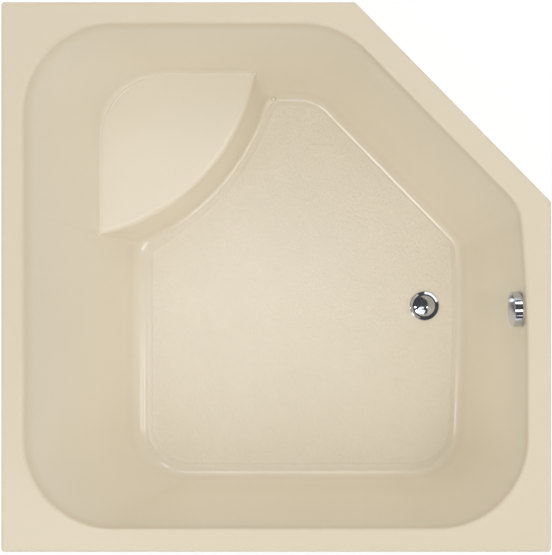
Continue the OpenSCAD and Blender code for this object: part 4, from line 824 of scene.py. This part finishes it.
def gleam(name, place, size, power):
    """Panel aimed at the tub's middle that shows only in gloss."""
    lamp(name, place, (0, 0, 0), size, power, True)
    for sight in ("diffuse", "transmission", "volume_scatter"):
        setattr(bpy.data.objects[name], "visible_" + sight, False)


# Soft boxes that show as gloss: the key low in front, one above the floor and two that the knob mirrors
lamp("key", (-0.65, -2.25, 3.54), (0.37, -0.07, 0.1), (2.9, 2.4), 38, True)
lamp("box_above", (-0.25, -0.7, 3.6), (-0.25, -0.7, 0), (1.2, 0.5), 4, True)
lamp("strip_knob", (1.55, -0.62, 3.6), (1.55, -0.62, 0), (0.4, 0.6), 4, True)
lamp("strip_behind", (1.8, 2.9, 3.6), (0.5, 0, 0.4), (0.6, 1.0), 12, True)
# Panels that only gloss shows, for the bright lines along the coves
gleam("gleam_right", (3.6, -0.6, 3.6), (0.6, 2.0), 7)
gleam("gleam_left", (-3.2, -0.7, 3.6), (0.6, 1.2), 16)
gleam("gleam_back", (-0.2, 4.6, 3.1), (3.2, 0.9), 40)
gleam("gleam_front", (3.2, -2.3, 3.5), (3.0, 1.2), 70)
gleam("gleam_low_left", (-2.6, -2.5, 3.6), (1.2, 1.2), 32)
# Fill light that doesn't show as gloss
lamp("fill_right", (3.4, 0, 3.2), (0, 0, 0.3), (3.4, 3.4), 26)
lamp("fill_left", (-3.4, 0, 3.2), (0, 0, 0.3), (3.4, 3.4), 8)
lamp("fill_back", (-1.2, 3.4, 3.2), (0, 0, 0.3), (3.4, 3.4), 36)
lamp("fill_above", (0.3, 0, 6.5), (0.3, 0, 0), (3.4, 3.4), 50)
# Dark ceiling that only mirrors see
ceiling = new_object("dark_ceiling", [(x * CEILING_HALF, y * CEILING_HALF, CEILING_Z)
                                      for x, y in ((-1, -1), (-1, 1), (1, 1), (1, -1))], [[0, 1, 2, 3]])
for sight in ("camera", "diffuse", "transmission", "volume_scatter", "shadow"):
    setattr(ceiling, "visible_" + sight, False)
dark = Look("dark_cloth", 1.0)
dark.set("Base Color", (0.02, 0.02, 0.022, 1.0))
dark.on(ceiling)

# The photograph looks straight down; its frame is 552 by 555 pixels
FRAME_W, FRAME_H = 552, 555
CAMERA_H, MM_PER_PX, SENSOR = 3.6, 2.2148, 36.0
OBJECT_PX = (276.2, 277.0)
cam = bpy.data.cameras.new("camera")
camera = bpy.data.objects.new("camera", cam)
scene.collection.objects.link(camera)
cam.sensor_width = SENSOR
cam.lens = SENSOR * CAMERA_H / (FRAME_H * MM_PER_PX * MM)
camera.location = ((FRAME_W / 2 - OBJECT_PX[0]) * MM_PER_PX * MM,
                   (OBJECT_PX[1] - FRAME_H / 2) * MM_PER_PX * MM, TUB_H * MM + CAMERA_H)
scene.camera = camera
